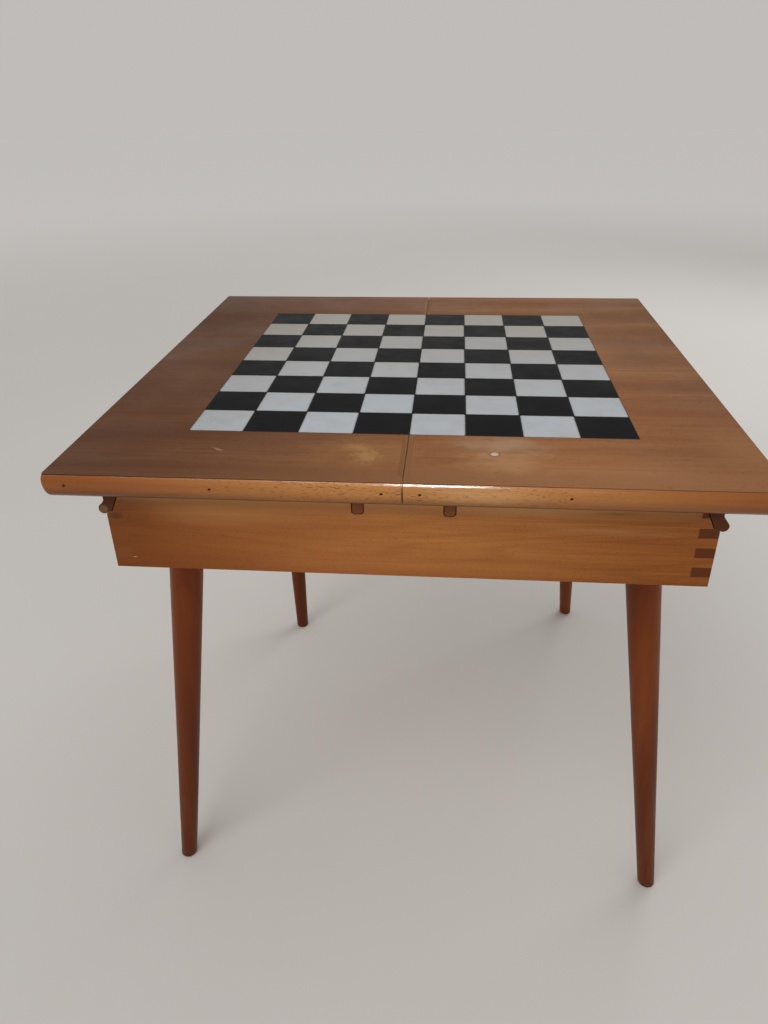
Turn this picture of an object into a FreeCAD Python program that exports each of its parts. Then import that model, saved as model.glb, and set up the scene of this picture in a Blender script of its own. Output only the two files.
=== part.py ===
import FreeCAD, Part
import math
import os
from collections import namedtuple
from types import SimpleNamespace

import Sketcher

# Game table with a two-leaf chessboard top over a finger-jointed storage box on splayed legs.
# Millimetres. +Z up, +X to the right of a player, -Y towards that player.
# Origin: on the floor, under the centre of the board.

DOC = FreeCAD.newDocument("chess_table")
Vec = FreeCAD.Vector

DRIVING_SIZES = [
    # the top
    ("cell", 50.0, "side of one square of the board"),
    ("tile_inset", 0.5, "dark line left round each light square"),
    ("tile_corner", 1.2, "cut off each corner of a light square"),
    ("top_half", 294.0, "centre of the top to the upper arris of its edge"),
    ("table_height", 535.0, "floor to playing surface"),
    ("leaf_thick", 22.0, "thickness of a leaf"),
    ("seam_gap", 1.0, "gap between the two leaves"),
    ("skin_thick", 0.8, "thickness of the top veneer and of the board"),
    ("lipping_thick", 4.0, "strip on a leaf's seam edge"),
    ("edging_wide", 12.0, "width of the moulded edging under the veneer"),
    ("nose_bulge", 2.0, "how far the edging swells past the upper arris"),
    ("nose_drop", 7.5, "depth of the swelling's widest line under the top"),
    ("nose_tuck", 5.3, "how far the lower arris stands in from the upper one"),
    ("corner_round", 2.0, "plan radius of the veneer's outer corners"),
    # the box
    ("box_long", 505.0, "box, left to right"),
    ("box_deep", 560.0, "box, front to back"),
    ("box_tall", 74.0, "height of the box's walls"),
    ("wall", 16.0, "thickness of the box's walls"),
    ("finger_count", 8.0, "fingers and slots in one corner joint"),
    ("rest_gap", 0.5, "gap between the box's rim and the leaves"),
    ("groove", 6.0, "depth of the groove that holds the bottom"),
    ("bottom_thick", 6.0, "plywood bottom"),
    ("bottom_lift", 22.0, "underside of the bottom above the lower rim"),
    # the wooden hinge
    ("pivot_out", 1.9, "hinge axis outside the end wall's outer face"),
    ("pivot_drop", 17.0, "hinge axis below the leaf's underside"),
    ("bead", 4.5, "radius of the hinge's rounded nose"),
    ("bead_gap", 0.4, "room between the nose and its cove"),
    ("neck_hollow", 1.2, "depth of the hollow above the nose"),
    ("bevel_top", 14.0, "bevelled seat at the rim, from the outer face"),
    ("bevel_foot", 5.4, "bevelled seat at its ledge, from the outer face"),
    ("knuckle_gap", 0.6, "gap between two knuckles, and beside a moving one"),
    ("knuckle_count", 5.0, "knuckles along one hinge"),
    ("hinge_pin", 2.0, "radius of the steel hinge pin"),
    ("running_gap", 0.05, "room round the pin in a moving knuckle"),
    ("pin_cover", 12.0, "wood left in front of the hinge pin"),
    # the rest bars under the seam edges of the leaves
    ("bar_off", 37.8, "middle of a rest bar from the seam"),
    ("bar_wide", 9.0, "width of a rest bar"),
    ("bar_deep", 14.5, "depth of a rest bar"),
    ("bar_round", 2.5, "rounding of a bar's lower edges"),
    ("notch_gap", 0.8, "room beside and under a bar in its notch"),
    # the legs
    ("seat_out_front", 216.0, "axis of a front leg at its seat, left or right of centre"),
    ("seat_out_rear", 204.0, "axis of a rear leg at its seat, left or right of centre"),
    ("seat_back", 200.0, "axis of a leg at its seat, front or back of centre"),
    ("foot_back_front", 238.0, "front feet, in front of centre"),
    ("foot_out_front_left", 263.0, "front left foot, left of centre"),
    ("foot_out_front_right", 275.0, "front right foot, right of centre"),
    ("foot_out_rear_left", 205.0, "rear left foot, left of centre"),
    ("foot_back_rear_left", 212.0, "rear left foot, behind centre"),
    ("foot_out_rear_right", 243.0, "rear right foot, right of centre"),
    ("foot_back_rear_right", 278.0, "rear right foot, behind centre"),
    ("leg_top", 17.5, "radius of a leg at its seat"),
    ("leg_foot", 9.0, "radius of a leg at the floor"),
    ("foot_ease", 3.0, "eased edge of the foot"),
    ("block_long", 62.0, "leg block, left to right"),
    ("block_deep", 104.0, "leg block, front to back"),
    ("block_tall", 20.0, "leg block, height"),
    ("stud", 4.0, "radius of the hanger bolt"),
    ("stud_up", 18.0, "length of the hanger bolt in its block"),
    ("stud_down", 40.0, "length of the hanger bolt in its leg"),
]


class Dim:
    """A size that remembers the sheet formula it comes from."""

    def __init__(self, value, text):
        self.value = float(value)
        self.text = text

    def __add__(self, other):
        other = as_dim(other)
        return Dim(self.value + other.value, f"({self.text} + {other.text})")

    def __sub__(self, other):
        other = as_dim(other)
        return Dim(self.value - other.value, f"({self.text} - {other.text})")

    def __mul__(self, other):
        other = as_dim(other)
        return Dim(self.value * other.value, f"({self.text} * {other.text})")

    def __truediv__(self, other):
        other = as_dim(other)
        return Dim(self.value / other.value, f"({self.text} / {other.text})")

    def __neg__(self):
        return self * -1

    def root(self):
        return Dim(math.sqrt(self.value), f"sqrt({self.text})")


def as_dim(number):
    return number if isinstance(number, Dim) else Dim(number, f"({number})")


def make_sheet():
    """Write the driving sizes into the sheet and return them by name."""
    sheet = DOC.addObject("Spreadsheet::Sheet", "Sizes")
    sizes = {}
    for row, (alias, value, meaning) in enumerate(DRIVING_SIZES, start=1):
        sheet.set(f"A{row}", meaning)
        sheet.set(f"B{row}", str(value))
        sheet.setAlias(f"B{row}", alias)
        sizes[alias] = Dim(value, f"Sizes.{alias}")
    DOC.recompute()
    return SimpleNamespace(**sizes)


S = make_sheet()

# Levels and half sizes worked out from the driving sizes.
UNDER = S.table_height - S.leaf_thick        # underside of the leaves
SKIN = S.table_height - S.skin_thick         # underside of the veneer and the board
RIM = UNDER - S.rest_gap                     # top of the box
BASE = RIM - S.box_tall                      # lower edge of the box
FINGER = S.box_tall / S.finger_count
LEDGE = RIM - FINGER * 2                     # ledge at the foot of the bevelled seat
FLOOR = BASE + S.bottom_lift                 # underside of the box's bottom
SEAT = FLOOR - S.block_tall                  # underside of the leg blocks
HALF_LONG = S.box_long / 2
HALF_DEEP = S.box_deep / 2
INNER_LONG = HALF_LONG - S.wall
INNER_DEEP = HALF_DEEP - S.wall
PIVOT_X = HALF_LONG + S.pivot_out
PIVOT_Z = UNDER - S.pivot_drop
SEAM_X = S.seam_gap / 2
CORE_X = SEAM_X + S.lipping_thick
CORE_HALF = S.top_half - S.edging_wide
BOARD_HALF = S.cell * 4
KNUCKLE_LONG = (S.box_deep - S.knuckle_gap * (S.knuckle_count - 1)) / S.knuckle_count
CLEAR = 10.0                                 # how far a cutting tool runs past the wood
ROWS = 8
COLUMNS = 4                                  # columns of the board on one leaf

Side = namedtuple("Side", "name sign")
SIDES = (Side("left", -1), Side("right", 1))
Arc = namedtuple("Arc", "radius centre_x centre_y ccw")
PARTS = []


# ---------------------------------------------------------------- helpers

def bind(item, prop, size):
    """Tie a property of an object to a size of the sheet."""
    item.setExpression(prop, as_dim(size).text)


def place(item, x=0, y=0, z=0):
    for axis, size in (("x", x), ("y", y), ("z", z)):
        bind(item, f"Placement.Base.{axis}", size)


def keep(item, label):
    """Name a finished sub-part and put it on the list of nodes."""
    item.Label = label
    PARTS.append(item)
    return item


def box(name, low, size):
    """A Part box from its low corner and its three sizes."""
    item = DOC.addObject("Part::Box", name)
    for prop, length in zip(("Length", "Width", "Height"), size):
        bind(item, prop, length)
    place(item, *low)
    return item


def combine(kind, name, base, tool):
    """A Part boolean of two objects: Cut or Common."""
    item = DOC.addObject(f"Part::{kind}", name)
    item.Base = base
    item.Tool = tool
    return item


def fixed_shape(name, solids):
    """A Part feature that holds a group of separate solids."""
    item = DOC.addObject("Part::Feature", name)
    item.Shape = Part.makeCompound(solids)
    return item


def new_body(label):
    return keep(DOC.addObject("PartDesign::Body", label), label)


def sketch_in(body, role, name):
    """A sketch on one of a body's own origin planes."""
    sketch = body.newObject("Sketcher::SketchObject", name)
    plane = next(item for item in body.Origin.OriginFeatures if item.Role == role)
    sketch.AttachmentSupport = (plane, "")
    sketch.MapMode = "FlatFace"
    return sketch


def fix_point(sketch, where, x, y):
    """Hold a sketch point at a distance from the origin given by the sheet."""
    for kind, size in (("DistanceX", x), ("DistanceY", y)):
        index = sketch.addConstraint(Sketcher.Constraint(kind, -1, 1, *where, size.value))
        sketch.setExpression(f"Constraints[{index}]", size.text)


def outline(sketch, corners):
    """Add a closed outline to a sketch.

    A corner is (x, y), or (x, y, arc) where an arc leads to it from the corner before.
    """
    corners = [(as_dim(c[0]), as_dim(c[1])) + tuple(c[2:]) for c in corners]
    ends = []
    for index, corner in enumerate(corners):
        before = corners[index - 1]
        start = Vec(before[0].value, before[1].value, 0)
        finish = Vec(corner[0].value, corner[1].value, 0)
        if len(corner) == 2:
            edge = sketch.addGeometry(Part.LineSegment(start, finish), False)
            ends.append(((edge, 1), (edge, 2)))
            continue
        arc = corner[2]
        centre = Vec(as_dim(arc.centre_x).value, as_dim(arc.centre_y).value, 0)
        first, last = (start, finish) if arc.ccw else (finish, start)
        circle = Part.Circle(centre, Vec(0, 0, 1), as_dim(arc.radius).value)
        angles = [math.atan2(p.y - centre.y, p.x - centre.x) for p in (first, last)]
        edge = sketch.addGeometry(Part.ArcOfCircle(circle, *angles), False)
        ends.append(((edge, 1), (edge, 2)) if arc.ccw else ((edge, 2), (edge, 1)))
        radius = sketch.addConstraint(
            Sketcher.Constraint("Radius", edge, as_dim(arc.radius).value))
        bind(sketch, f"Constraints[{radius}]", arc.radius)
    for index, corner in enumerate(corners):
        leaving = ends[(index + 1) % len(ends)][0]
        sketch.addConstraint(Sketcher.Constraint("Coincident", *ends[index][1], *leaving))
        fix_point(sketch, ends[index][1], corner[0], corner[1])


def rectangle(sketch, x_low, x_high, y_low, y_high):
    outline(sketch, [(x_low, y_low), (x_high, y_low), (x_high, y_high), (x_low, y_high)])


def ring(sketch, x, y, radius):
    """Add a circle to a sketch."""
    centre = Vec(x.value, y.value, 0)
    edge = sketch.addGeometry(Part.Circle(centre, Vec(0, 0, 1), radius.value), False)
    fix_point(sketch, (edge, 3), x, y)
    index = sketch.addConstraint(Sketcher.Constraint("Radius", edge, radius.value))
    bind(sketch, f"Constraints[{index}]", radius)


def feature(body, kind, name, sketch, length, backwards=False, both_ways=False):
    """A Pad or Pocket of a sketch."""
    item = body.newObject(f"PartDesign::{kind}", name)
    item.Profile = sketch
    bind(item, "Length", length)
    item.Reversed = backwards
    item.Midplane = both_ways
    return item


def repeat_up(body, source, sketch, count, reach):
    """Repeat a feature along the sketch's vertical axis."""
    item = body.newObject("PartDesign::LinearPattern", f"{source.Name}_pattern")
    item.Originals = [source]
    item.Direction = (sketch, ["V_Axis"])
    item.Occurrences = count
    bind(item, "Length", reach)
    body.Tip = item


# ---------------------------------------------------------------- the box

FINGER_PAIRS = int(S.finger_count.value / 2)
PATTERN_REACH = FINGER * 2 * (FINGER_PAIRS - 1)


def seat_foot_x():
    """Where the ledge of the bevelled seat meets the cove, from the table's centre."""
    reach = S.bead + S.bead_gap
    drop = PIVOT_Z - LEDGE
    return PIVOT_X - (reach * reach - drop * drop).root()


def cove_low():
    """Level at which the cove runs out of the end wall's outer face."""
    reach = S.bead + S.bead_gap
    return PIVOT_Z - (reach * reach - S.pivot_out * S.pivot_out).root()


def bar_notch(sketch, side):
    """Open-topped notch with a rounded bottom for a rest bar."""
    middle = S.bar_off * side.sign
    half = S.bar_wide / 2 + S.notch_gap
    low = UNDER - S.bar_deep - S.notch_gap
    curve = S.bar_round + S.notch_gap
    left = middle - half
    right = middle + half
    outline(sketch, [
        (left, RIM + CLEAR),
        (left, low + curve),
        (left + curve, low, Arc(curve, left + curve, low + curve, True)),
        (right - curve, low),
        (right, low + curve, Arc(curve, right - curve, low + curve, True)),
        (right, RIM + CLEAR),
    ])


def seat_corner(sketch, side):
    """Corner of a front or back wall cut away to the bevelled hinge seat."""
    outline(sketch, [
        ((HALF_LONG - S.bevel_top) * side.sign, RIM),
        ((HALF_LONG - S.bevel_foot) * side.sign, LEDGE),
        ((HALF_LONG + CLEAR) * side.sign, LEDGE),
        ((HALF_LONG + CLEAR) * side.sign, RIM),
    ])


def make_long_wall(label, turned):
    """Front or back wall: finger joints, hinge seats, bar notches and a groove inside."""
    body = new_body(label)
    board = sketch_in(body, "XZ_Plane", f"{label}_board")
    rectangle(board, -HALF_LONG, HALF_LONG, BASE, RIM)
    feature(body, "Pad", f"{label}_plank", board, S.wall, backwards=True)

    slots = sketch_in(body, "XZ_Plane", f"{label}_slots")
    for side in SIDES:
        edges = sorted(((INNER_LONG * side.sign), (HALF_LONG + CLEAR) * side.sign),
                       key=lambda size: size.value)
        rectangle(slots, *edges, BASE + FINGER, BASE + FINGER * 2)
    cut = feature(body, "Pocket", f"{label}_finger", slots, S.wall)
    repeat_up(body, cut, slots, FINGER_PAIRS, PATTERN_REACH)

    seats = sketch_in(body, "XZ_Plane", f"{label}_seats")
    notches = sketch_in(body, "XZ_Plane", f"{label}_notches")
    for side in SIDES:
        seat_corner(seats, side)
        bar_notch(notches, side)
    feature(body, "Pocket", f"{label}_seat_cut", seats, S.wall)
    feature(body, "Pocket", f"{label}_notch_cut", notches, S.wall)

    channel = sketch_in(body, "YZ_Plane", f"{label}_channel")
    rectangle(channel, S.wall - S.groove, S.wall, FLOOR, FLOOR + S.bottom_thick)
    feature(body, "Pocket", f"{label}_groove", channel, (INNER_LONG + S.groove) * 2,
            both_ways=True)
    if turned:
        body.Placement.Rotation = FreeCAD.Rotation(Vec(0, 0, 1), 180)
    place(body, y=HALF_DEEP if turned else -HALF_DEEP)


def make_end_wall(side):
    """End wall: its section carries the bevelled seat and the cove of the hinge."""
    label = f"{side.name}_end_panel"
    body = new_body(label)
    reach = S.bead + S.bead_gap
    section = sketch_in(body, "XZ_Plane", f"{label}_section")
    cove = Arc(reach, PIVOT_X * side.sign, PIVOT_Z, side.sign < 0)
    outline(section, [
        (INNER_LONG * side.sign, BASE),
        (HALF_LONG * side.sign, BASE),
        (HALF_LONG * side.sign, cove_low()),
        (seat_foot_x() * side.sign, LEDGE, cove),
        ((HALF_LONG - S.bevel_foot) * side.sign, LEDGE),
        ((HALF_LONG - S.bevel_top) * side.sign, RIM),
        (INNER_LONG * side.sign, RIM),
    ])
    feature(body, "Pad", f"{label}_plank", section, S.box_deep, both_ways=True)

    slots = sketch_in(body, "YZ_Plane", f"{label}_slots")
    rectangle(slots, -HALF_DEEP - CLEAR, -INNER_DEEP, BASE, BASE + FINGER)
    rectangle(slots, INNER_DEEP, HALF_DEEP + CLEAR, BASE, BASE + FINGER)
    cut = feature(body, "Pocket", f"{label}_finger", slots, S.box_long * 2, both_ways=True)
    repeat_up(body, cut, slots, FINGER_PAIRS, PATTERN_REACH)

    channel = sketch_in(body, "XZ_Plane", f"{label}_channel")
    edges = sorted((INNER_LONG * side.sign, (INNER_LONG + S.groove) * side.sign),
                   key=lambda size: size.value)
    rectangle(channel, *edges, FLOOR, FLOOR + S.bottom_thick)
    feature(body, "Pocket", f"{label}_groove", channel, (INNER_DEEP + S.groove) * 2,
            both_ways=True)


# ---------------------------------------------------------------- legs, blocks and bottom

Leg = namedtuple("Leg", "name sign_x sign_y seat_out foot_out foot_back")
LEGS = (
    Leg("front_left", -1, -1, S.seat_out_front, S.foot_out_front_left, S.foot_back_front),
    Leg("front_right", 1, -1, S.seat_out_front, S.foot_out_front_right, S.foot_back_front),
    Leg("rear_left", -1, 1, S.seat_out_rear, S.foot_out_rear_left, S.foot_back_rear_left),
    Leg("rear_right", 1, 1, S.seat_out_rear, S.foot_out_rear_right, S.foot_back_rear_right),
)


def leg_run(leg):
    """How far a leg's foot stands outside its seat: to the side, and to the front or back."""
    return leg.foot_out - leg.seat_out, leg.foot_back - S.seat_back


def leg_length(leg):
    """Length of a leg's axis from the floor to its seat."""
    run_x, run_y = leg_run(leg)
    return (run_x * run_x + run_y * run_y + SEAT * SEAT).root()


def stand_on_foot(item, leg):
    """Turn a piece drawn along +Z onto a leg's splayed axis, from the foot up."""
    run_x, run_y = leg_run(leg)
    lean = (run_x * run_x + run_y * run_y).root()
    axis = Vec((run_y * leg.sign_y).value, (run_x * -leg.sign_x).value, 0)
    item.Placement = FreeCAD.Placement(Vec(), FreeCAD.Rotation(axis, 1))
    item.setExpression("Placement.Rotation.Angle", f"atan({(lean / SEAT).text})")
    place(item, leg.foot_out * leg.sign_x, leg.foot_back * leg.sign_y)


def make_leg(leg):
    """Tapered round leg, bored for its bolt, cut level at the floor and at its seat."""
    turned = DOC.addObject("PartDesign::Body", f"{leg.name}_turned")
    long = leg_length(leg)
    slope = (S.leg_top - S.leg_foot) / long
    over = S.leg_top
    bottom = -S.foot_ease / 2
    shape = sketch_in(turned, "XZ_Plane", f"{leg.name}_shape")
    outline(shape, [
        (0, bottom),
        (S.leg_foot - S.foot_ease, bottom),
        (S.leg_foot, S.foot_ease),
        (S.leg_top + slope * over, long + over),
        (S.stud, long + over),
        (S.stud, long - S.stud_down),
        (0, long - S.stud_down),
    ])
    spin = turned.newObject("PartDesign::Revolution", f"{leg.name}_spin")
    spin.Profile = shape
    spin.ReferenceAxis = (shape, ["V_Axis"])
    spin.Angle = 360
    stand_on_foot(turned, leg)
    reach = S.top_half * 2
    slab = box(f"{leg.name}_slab", (-S.top_half, -S.top_half, 0), (reach, reach, SEAT))
    keep(combine("Common", f"{leg.name}_trimmed", turned, slab), f"{leg.name}_leg")


def make_bolt(leg):
    """Hanger bolt on a leg's axis, from inside the leg up into its block."""
    bolt = DOC.addObject("Part::Cylinder", f"{leg.name}_stud")
    bind(bolt, "Radius", S.stud)
    bind(bolt, "Height", S.stud_up + S.stud_down)
    run_x, run_y = leg_run(leg)
    share = (leg_length(leg) - S.stud_down) / leg_length(leg)
    stand_on_foot(bolt, leg)
    place(bolt, (leg.foot_out - run_x * share) * leg.sign_x,
          (leg.foot_back - run_y * share) * leg.sign_y, SEAT * share)
    return keep(bolt, f"{leg.name}_bolt")


def make_box_inside():
    """Bottom, four leg blocks, and the legs with their bolts."""
    low = (-INNER_LONG - S.groove, -INNER_DEEP - S.groove, FLOOR)
    keep(box("bottom_sheet", low, ((INNER_LONG + S.groove) * 2,
                                   (INNER_DEEP + S.groove) * 2, S.bottom_thick)),
         "bottom_panel")
    for leg in LEGS:
        low_x = INNER_LONG - S.block_long if leg.sign_x > 0 else -INNER_LONG
        low_y = INNER_DEEP - S.block_deep if leg.sign_y > 0 else -INNER_DEEP
        blank = box(f"{leg.name}_blank", (low_x, low_y, SEAT),
                    (S.block_long, S.block_deep, S.block_tall))
        keep(combine("Cut", f"{leg.name}_bored", blank, make_bolt(leg)),
             f"{leg.name}_leg_block")
        make_leg(leg)


# ---------------------------------------------------------------- the wooden hinge

def knuckle_section(sketch, side, top, foot, room):
    """Section of a hinge knuckle: flat head, hollow neck, round nose and sloping back.

    top is the level of the head, foot the level of the toe on the ledge, and room the
    gap left to the bevelled seat.
    """
    flip = side.sign
    tall = top - (PIVOT_Z + S.bead)
    hollow = (tall * tall / 4 + S.neck_hollow * S.neck_hollow) / (S.neck_hollow * 2)
    drop = PIVOT_Z - foot
    toe = (S.bead * S.bead - drop * drop).root()
    middle = (top + PIVOT_Z + S.bead) / 2
    neck = Arc(hollow, (PIVOT_X - S.neck_hollow + hollow) * flip, middle, flip > 0)
    nose = Arc(S.bead, PIVOT_X * flip, PIVOT_Z, flip < 0)
    outline(sketch, [
        (PIVOT_X * flip, top),
        (PIVOT_X * flip, PIVOT_Z + S.bead, neck),
        ((PIVOT_X - toe) * flip, foot, nose),
        ((HALF_LONG - S.bevel_foot + room) * flip, foot),
        ((HALF_LONG - S.bevel_top + room) * flip, top),
    ])


def knuckle_front(index):
    """Front end of a knuckle along the hinge."""
    return (KNUCKLE_LONG + S.knuckle_gap) * index - HALF_DEEP


def make_knuckle(side, index, label, top, foot, room, bore):
    """One knuckle, numbered from the front; the first is bored from behind only."""
    body = new_body(label)
    section = sketch_in(body, "XZ_Plane", f"{label}_section")
    knuckle_section(section, side, top, foot, room)
    feature(body, "Pad", f"{label}_length", section, KNUCKLE_LONG, backwards=True)
    hole = sketch_in(body, "XZ_Plane", f"{label}_hole")
    ring(hole, PIVOT_X * side.sign, PIVOT_Z, bore)
    if index == 0:
        bind(hole, "AttachmentOffset.Base.z", -S.pin_cover)
    feature(body, "Pocket", f"{label}_bore", hole, S.box_deep)
    place(body, y=knuckle_front(index))


def make_hinge(side):
    """Five knuckles on one steel pin: three on the leaf, two on the end wall."""
    moving = S.hinge_pin + S.running_gap
    for turn, name in enumerate(("front", "middle", "rear")):
        make_knuckle(side, turn * 2, f"{side.name}_leaf_knuckle_{name}",
                     UNDER, LEDGE + S.bead_gap, S.knuckle_gap, moving)
    for turn, name in enumerate(("front", "rear")):
        make_knuckle(side, turn * 2 + 1, f"{side.name}_wall_knuckle_{name}",
                     RIM, LEDGE, as_dim(0), S.hinge_pin)
    pin = DOC.addObject("Part::Cylinder", f"{side.name}_hinge_pin")
    bind(pin, "Radius", S.hinge_pin)
    bind(pin, "Height", S.box_deep - S.pin_cover * 1.5)
    pin.Placement.Rotation = FreeCAD.Rotation(Vec(1, 0, 0), -90)
    place(pin, PIVOT_X * side.sign, S.pin_cover * 1.25 - HALF_DEEP, PIVOT_Z)
    keep(pin, f"{side.name}_hinge_pin")


# ---------------------------------------------------------------- the leaves

def nose_arcs(arris, flip):
    """Corners of the moulded edge from the lower arris up, for an arris at a distance.

    Two arcs meet upright at the widest line of the swelling.
    """
    widest = S.table_height - S.nose_drop
    tuck = S.nose_bulge + S.nose_tuck
    below = widest - UNDER
    above = SKIN - widest
    lower = (tuck * tuck + below * below) / (tuck * 2)
    upper = (S.nose_bulge * S.nose_bulge + above * above) / (S.nose_bulge * 2)
    out = arris + S.nose_bulge
    return [
        ((arris - S.nose_tuck) * flip, UNDER),
        (out * flip, widest, Arc(lower, (out - lower) * flip, widest, flip > 0)),
        (arris * flip, SKIN, Arc(upper, (out - upper) * flip, widest, flip > 0)),
    ]


def extrusion(name, sketch_role, corners, length, start=None):
    """Body padded from a section, both ways from its plane or from a start along it."""
    body = DOC.addObject("PartDesign::Body", name)
    sketch = sketch_in(body, sketch_role, f"{name}_section")
    outline(sketch, corners)
    feature(body, "Pad", f"{name}_pad", sketch, length, both_ways=start is None)
    if start is not None:
        place(body, **start)
    return body


def make_strip(side, name, sketch_role, flip, corners):
    """Moulded strip of edging, cut from its long moulding by a prism with mitred ends."""
    label = f"{side.name}_{name}_edging"
    section = [(CORE_HALF * flip, UNDER)] + nose_arcs(S.top_half, flip)
    section.append((CORE_HALF * flip, SKIN))
    moulding = extrusion(f"{label}_moulding", sketch_role, section, S.top_half * 3)
    prism = extrusion(f"{label}_mitre", "XY_Plane", corners, S.leaf_thick, {"z": UNDER})
    keep(combine("Common", f"{label}_cut", moulding, prism), label)


def make_edging(side):
    """Three moulded strips, mitred at the leaf's two outer corners."""
    flip = side.sign
    far = S.top_half + CLEAR
    near = CORE_HALF - CLEAR
    for end, sign in (("front", -1), ("back", 1)):
        make_strip(side, end, "YZ_Plane", sign, [
            (SEAM_X * flip, near * sign), (near * flip, near * sign),
            (far * flip, far * sign), (SEAM_X * flip, far * sign)])
    make_strip(side, "end", "XZ_Plane", flip, [
        (near * flip, -near), (far * flip, -far), (far * flip, far), (near * flip, near)])


def make_veneer(side):
    """Top veneer of a leaf with the place of the board cut out."""
    flip = side.sign
    label = f"{side.name}_top_veneer"
    body = new_body(label)
    half = S.top_half
    curve = S.corner_round
    near = half - curve
    plan = sketch_in(body, "XY_Plane", f"{label}_plan")
    outline(plan, [
        (SEAM_X * flip, -half),
        (near * flip, -half),
        (half * flip, -near, Arc(curve, near * flip, -near, flip > 0)),
        (half * flip, near),
        (near * flip, half, Arc(curve, near * flip, near, flip > 0)),
        (SEAM_X * flip, half),
        (SEAM_X * flip, CORE_HALF),
        (CORE_X * flip, CORE_HALF),
        (CORE_X * flip, BOARD_HALF),
        (BOARD_HALF * flip, BOARD_HALF),
        (BOARD_HALF * flip, -BOARD_HALF),
        (CORE_X * flip, -BOARD_HALF),
        (CORE_X * flip, -CORE_HALF),
        (SEAM_X * flip, -CORE_HALF),
    ])
    feature(body, "Pad", f"{label}_sheet", plan, S.skin_thick)
    place(body, z=SKIN)


def light_squares(side):
    """The light squares of one leaf: thin tiles with their corners cut off."""
    cell = S.cell.value
    inset = S.tile_inset.value
    tile_side = cell - 2 * inset
    tiles = []
    for row in range(ROWS):
        for step in range(COLUMNS):
            column = step - COLUMNS if side.sign < 0 else step
            if (row + column) % 2:
                continue
            low = Vec(column * cell + inset, (row - ROWS / 2) * cell + inset, SKIN.value)
            tile = Part.makeBox(tile_side, tile_side, S.skin_thick.value, low)
            upright = [edge for edge in tile.Edges
                       if abs(edge.tangentAt(edge.FirstParameter).z) > 0.9]
            tiles.append(tile.makeChamfer(S.tile_corner.value, upright))
    return tiles


def make_board(side):
    """Half of the board: a dark field with the light squares let into it."""
    low = SEAM_X if side.sign > 0 else -BOARD_HALF
    squares = fixed_shape(f"{side.name}_squares", light_squares(side))
    field = box(f"{side.name}_field", (low, -BOARD_HALF, SKIN),
                (BOARD_HALF - SEAM_X, BOARD_HALF * 2, S.skin_thick))
    keep(combine("Cut", f"{side.name}_field_cut", field, squares),
         f"{side.name}_board_dark_field")
    keep(squares, f"{side.name}_board_light_squares")


def make_bar(side):
    """Rest bar under the seam edge: it lies in the notches of the front and back walls."""
    label = f"{side.name}_rest_bar"
    body = new_body(label)
    middle = S.bar_off * side.sign
    left = middle - S.bar_wide / 2
    right = middle + S.bar_wide / 2
    low = UNDER - S.bar_deep
    curve = S.bar_round
    section = sketch_in(body, "XZ_Plane", f"{label}_section")
    outline(section, [
        (left, UNDER),
        (left, low + curve),
        (left + curve, low, Arc(curve, left + curve, low + curve, True)),
        (right - curve, low),
        (right, low + curve, Arc(curve, right - curve, low + curve, True)),
        (right, UNDER),
    ])
    feature(body, "Pad", f"{label}_length", section, S.box_deep, both_ways=True)


def make_leaf(side):
    """One leaf of the top with everything that swings with it, apart from the hinge."""
    flip = side.sign
    low_x = CORE_X if flip > 0 else -CORE_HALF
    keep(box(f"{side.name}_core_blank", (low_x, -CORE_HALF, UNDER),
             (CORE_HALF - CORE_X, CORE_HALF * 2, S.leaf_thick - S.skin_thick)),
         f"{side.name}_leaf_core")
    lip_x = SEAM_X if flip > 0 else -CORE_X
    strip = box(f"{side.name}_lip_blank", (lip_x, -CORE_HALF, UNDER),
                (S.lipping_thick, CORE_HALF * 2, S.leaf_thick))
    place_for_board = box(f"{side.name}_lip_rebate", (lip_x, -BOARD_HALF, SKIN),
                          (S.lipping_thick, BOARD_HALF * 2, S.leaf_thick))
    keep(combine("Cut", f"{side.name}_lip_cut", strip, place_for_board),
         f"{side.name}_seam_lipping")
    make_edging(side)
    make_veneer(side)
    make_board(side)
    make_bar(side)


# ---------------------------------------------------------------- build, test, write

def test_parts():
    """Stop if any object failed or any sub-part has no valid solid."""
    for item in DOC.Objects:
        if "Invalid" in item.State or "Error" in item.State:
            raise RuntimeError(f"{item.Label} failed: {item.State}")
    for item in PARTS:
        shape = item.Shape
        if shape.isNull() or not shape.isValid() or not shape.Solids:
            raise RuntimeError(f"{item.Label} has no valid solid")


def main():
    make_long_wall("front_panel", turned=False)
    make_long_wall("back_panel", turned=True)
    make_box_inside()
    for side in SIDES:
        make_end_wall(side)
        make_hinge(side)
        make_leaf(side)
    DOC.recompute()
    test_parts()
    os.makedirs("parts", exist_ok=True)
    for item in PARTS:
        item.Shape.exportStep(f"parts/{item.Label}.step")
        print(f"{item.Label}: {len(item.Shape.Solids)} solid(s), {item.Shape.Volume:.0f} mm3")


main()
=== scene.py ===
"""Games table with a two-leaf chessboard top: pieces, finishes, light and camera.

Metres throughout, in the table's own frame: floor at z = 0, the seam of the top in the plane
x = 0, the player in front at negative y.
"""
from __future__ import annotations

import logging
import math
from dataclasses import dataclass, field, replace
from enum import Enum
from typing import Union

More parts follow.
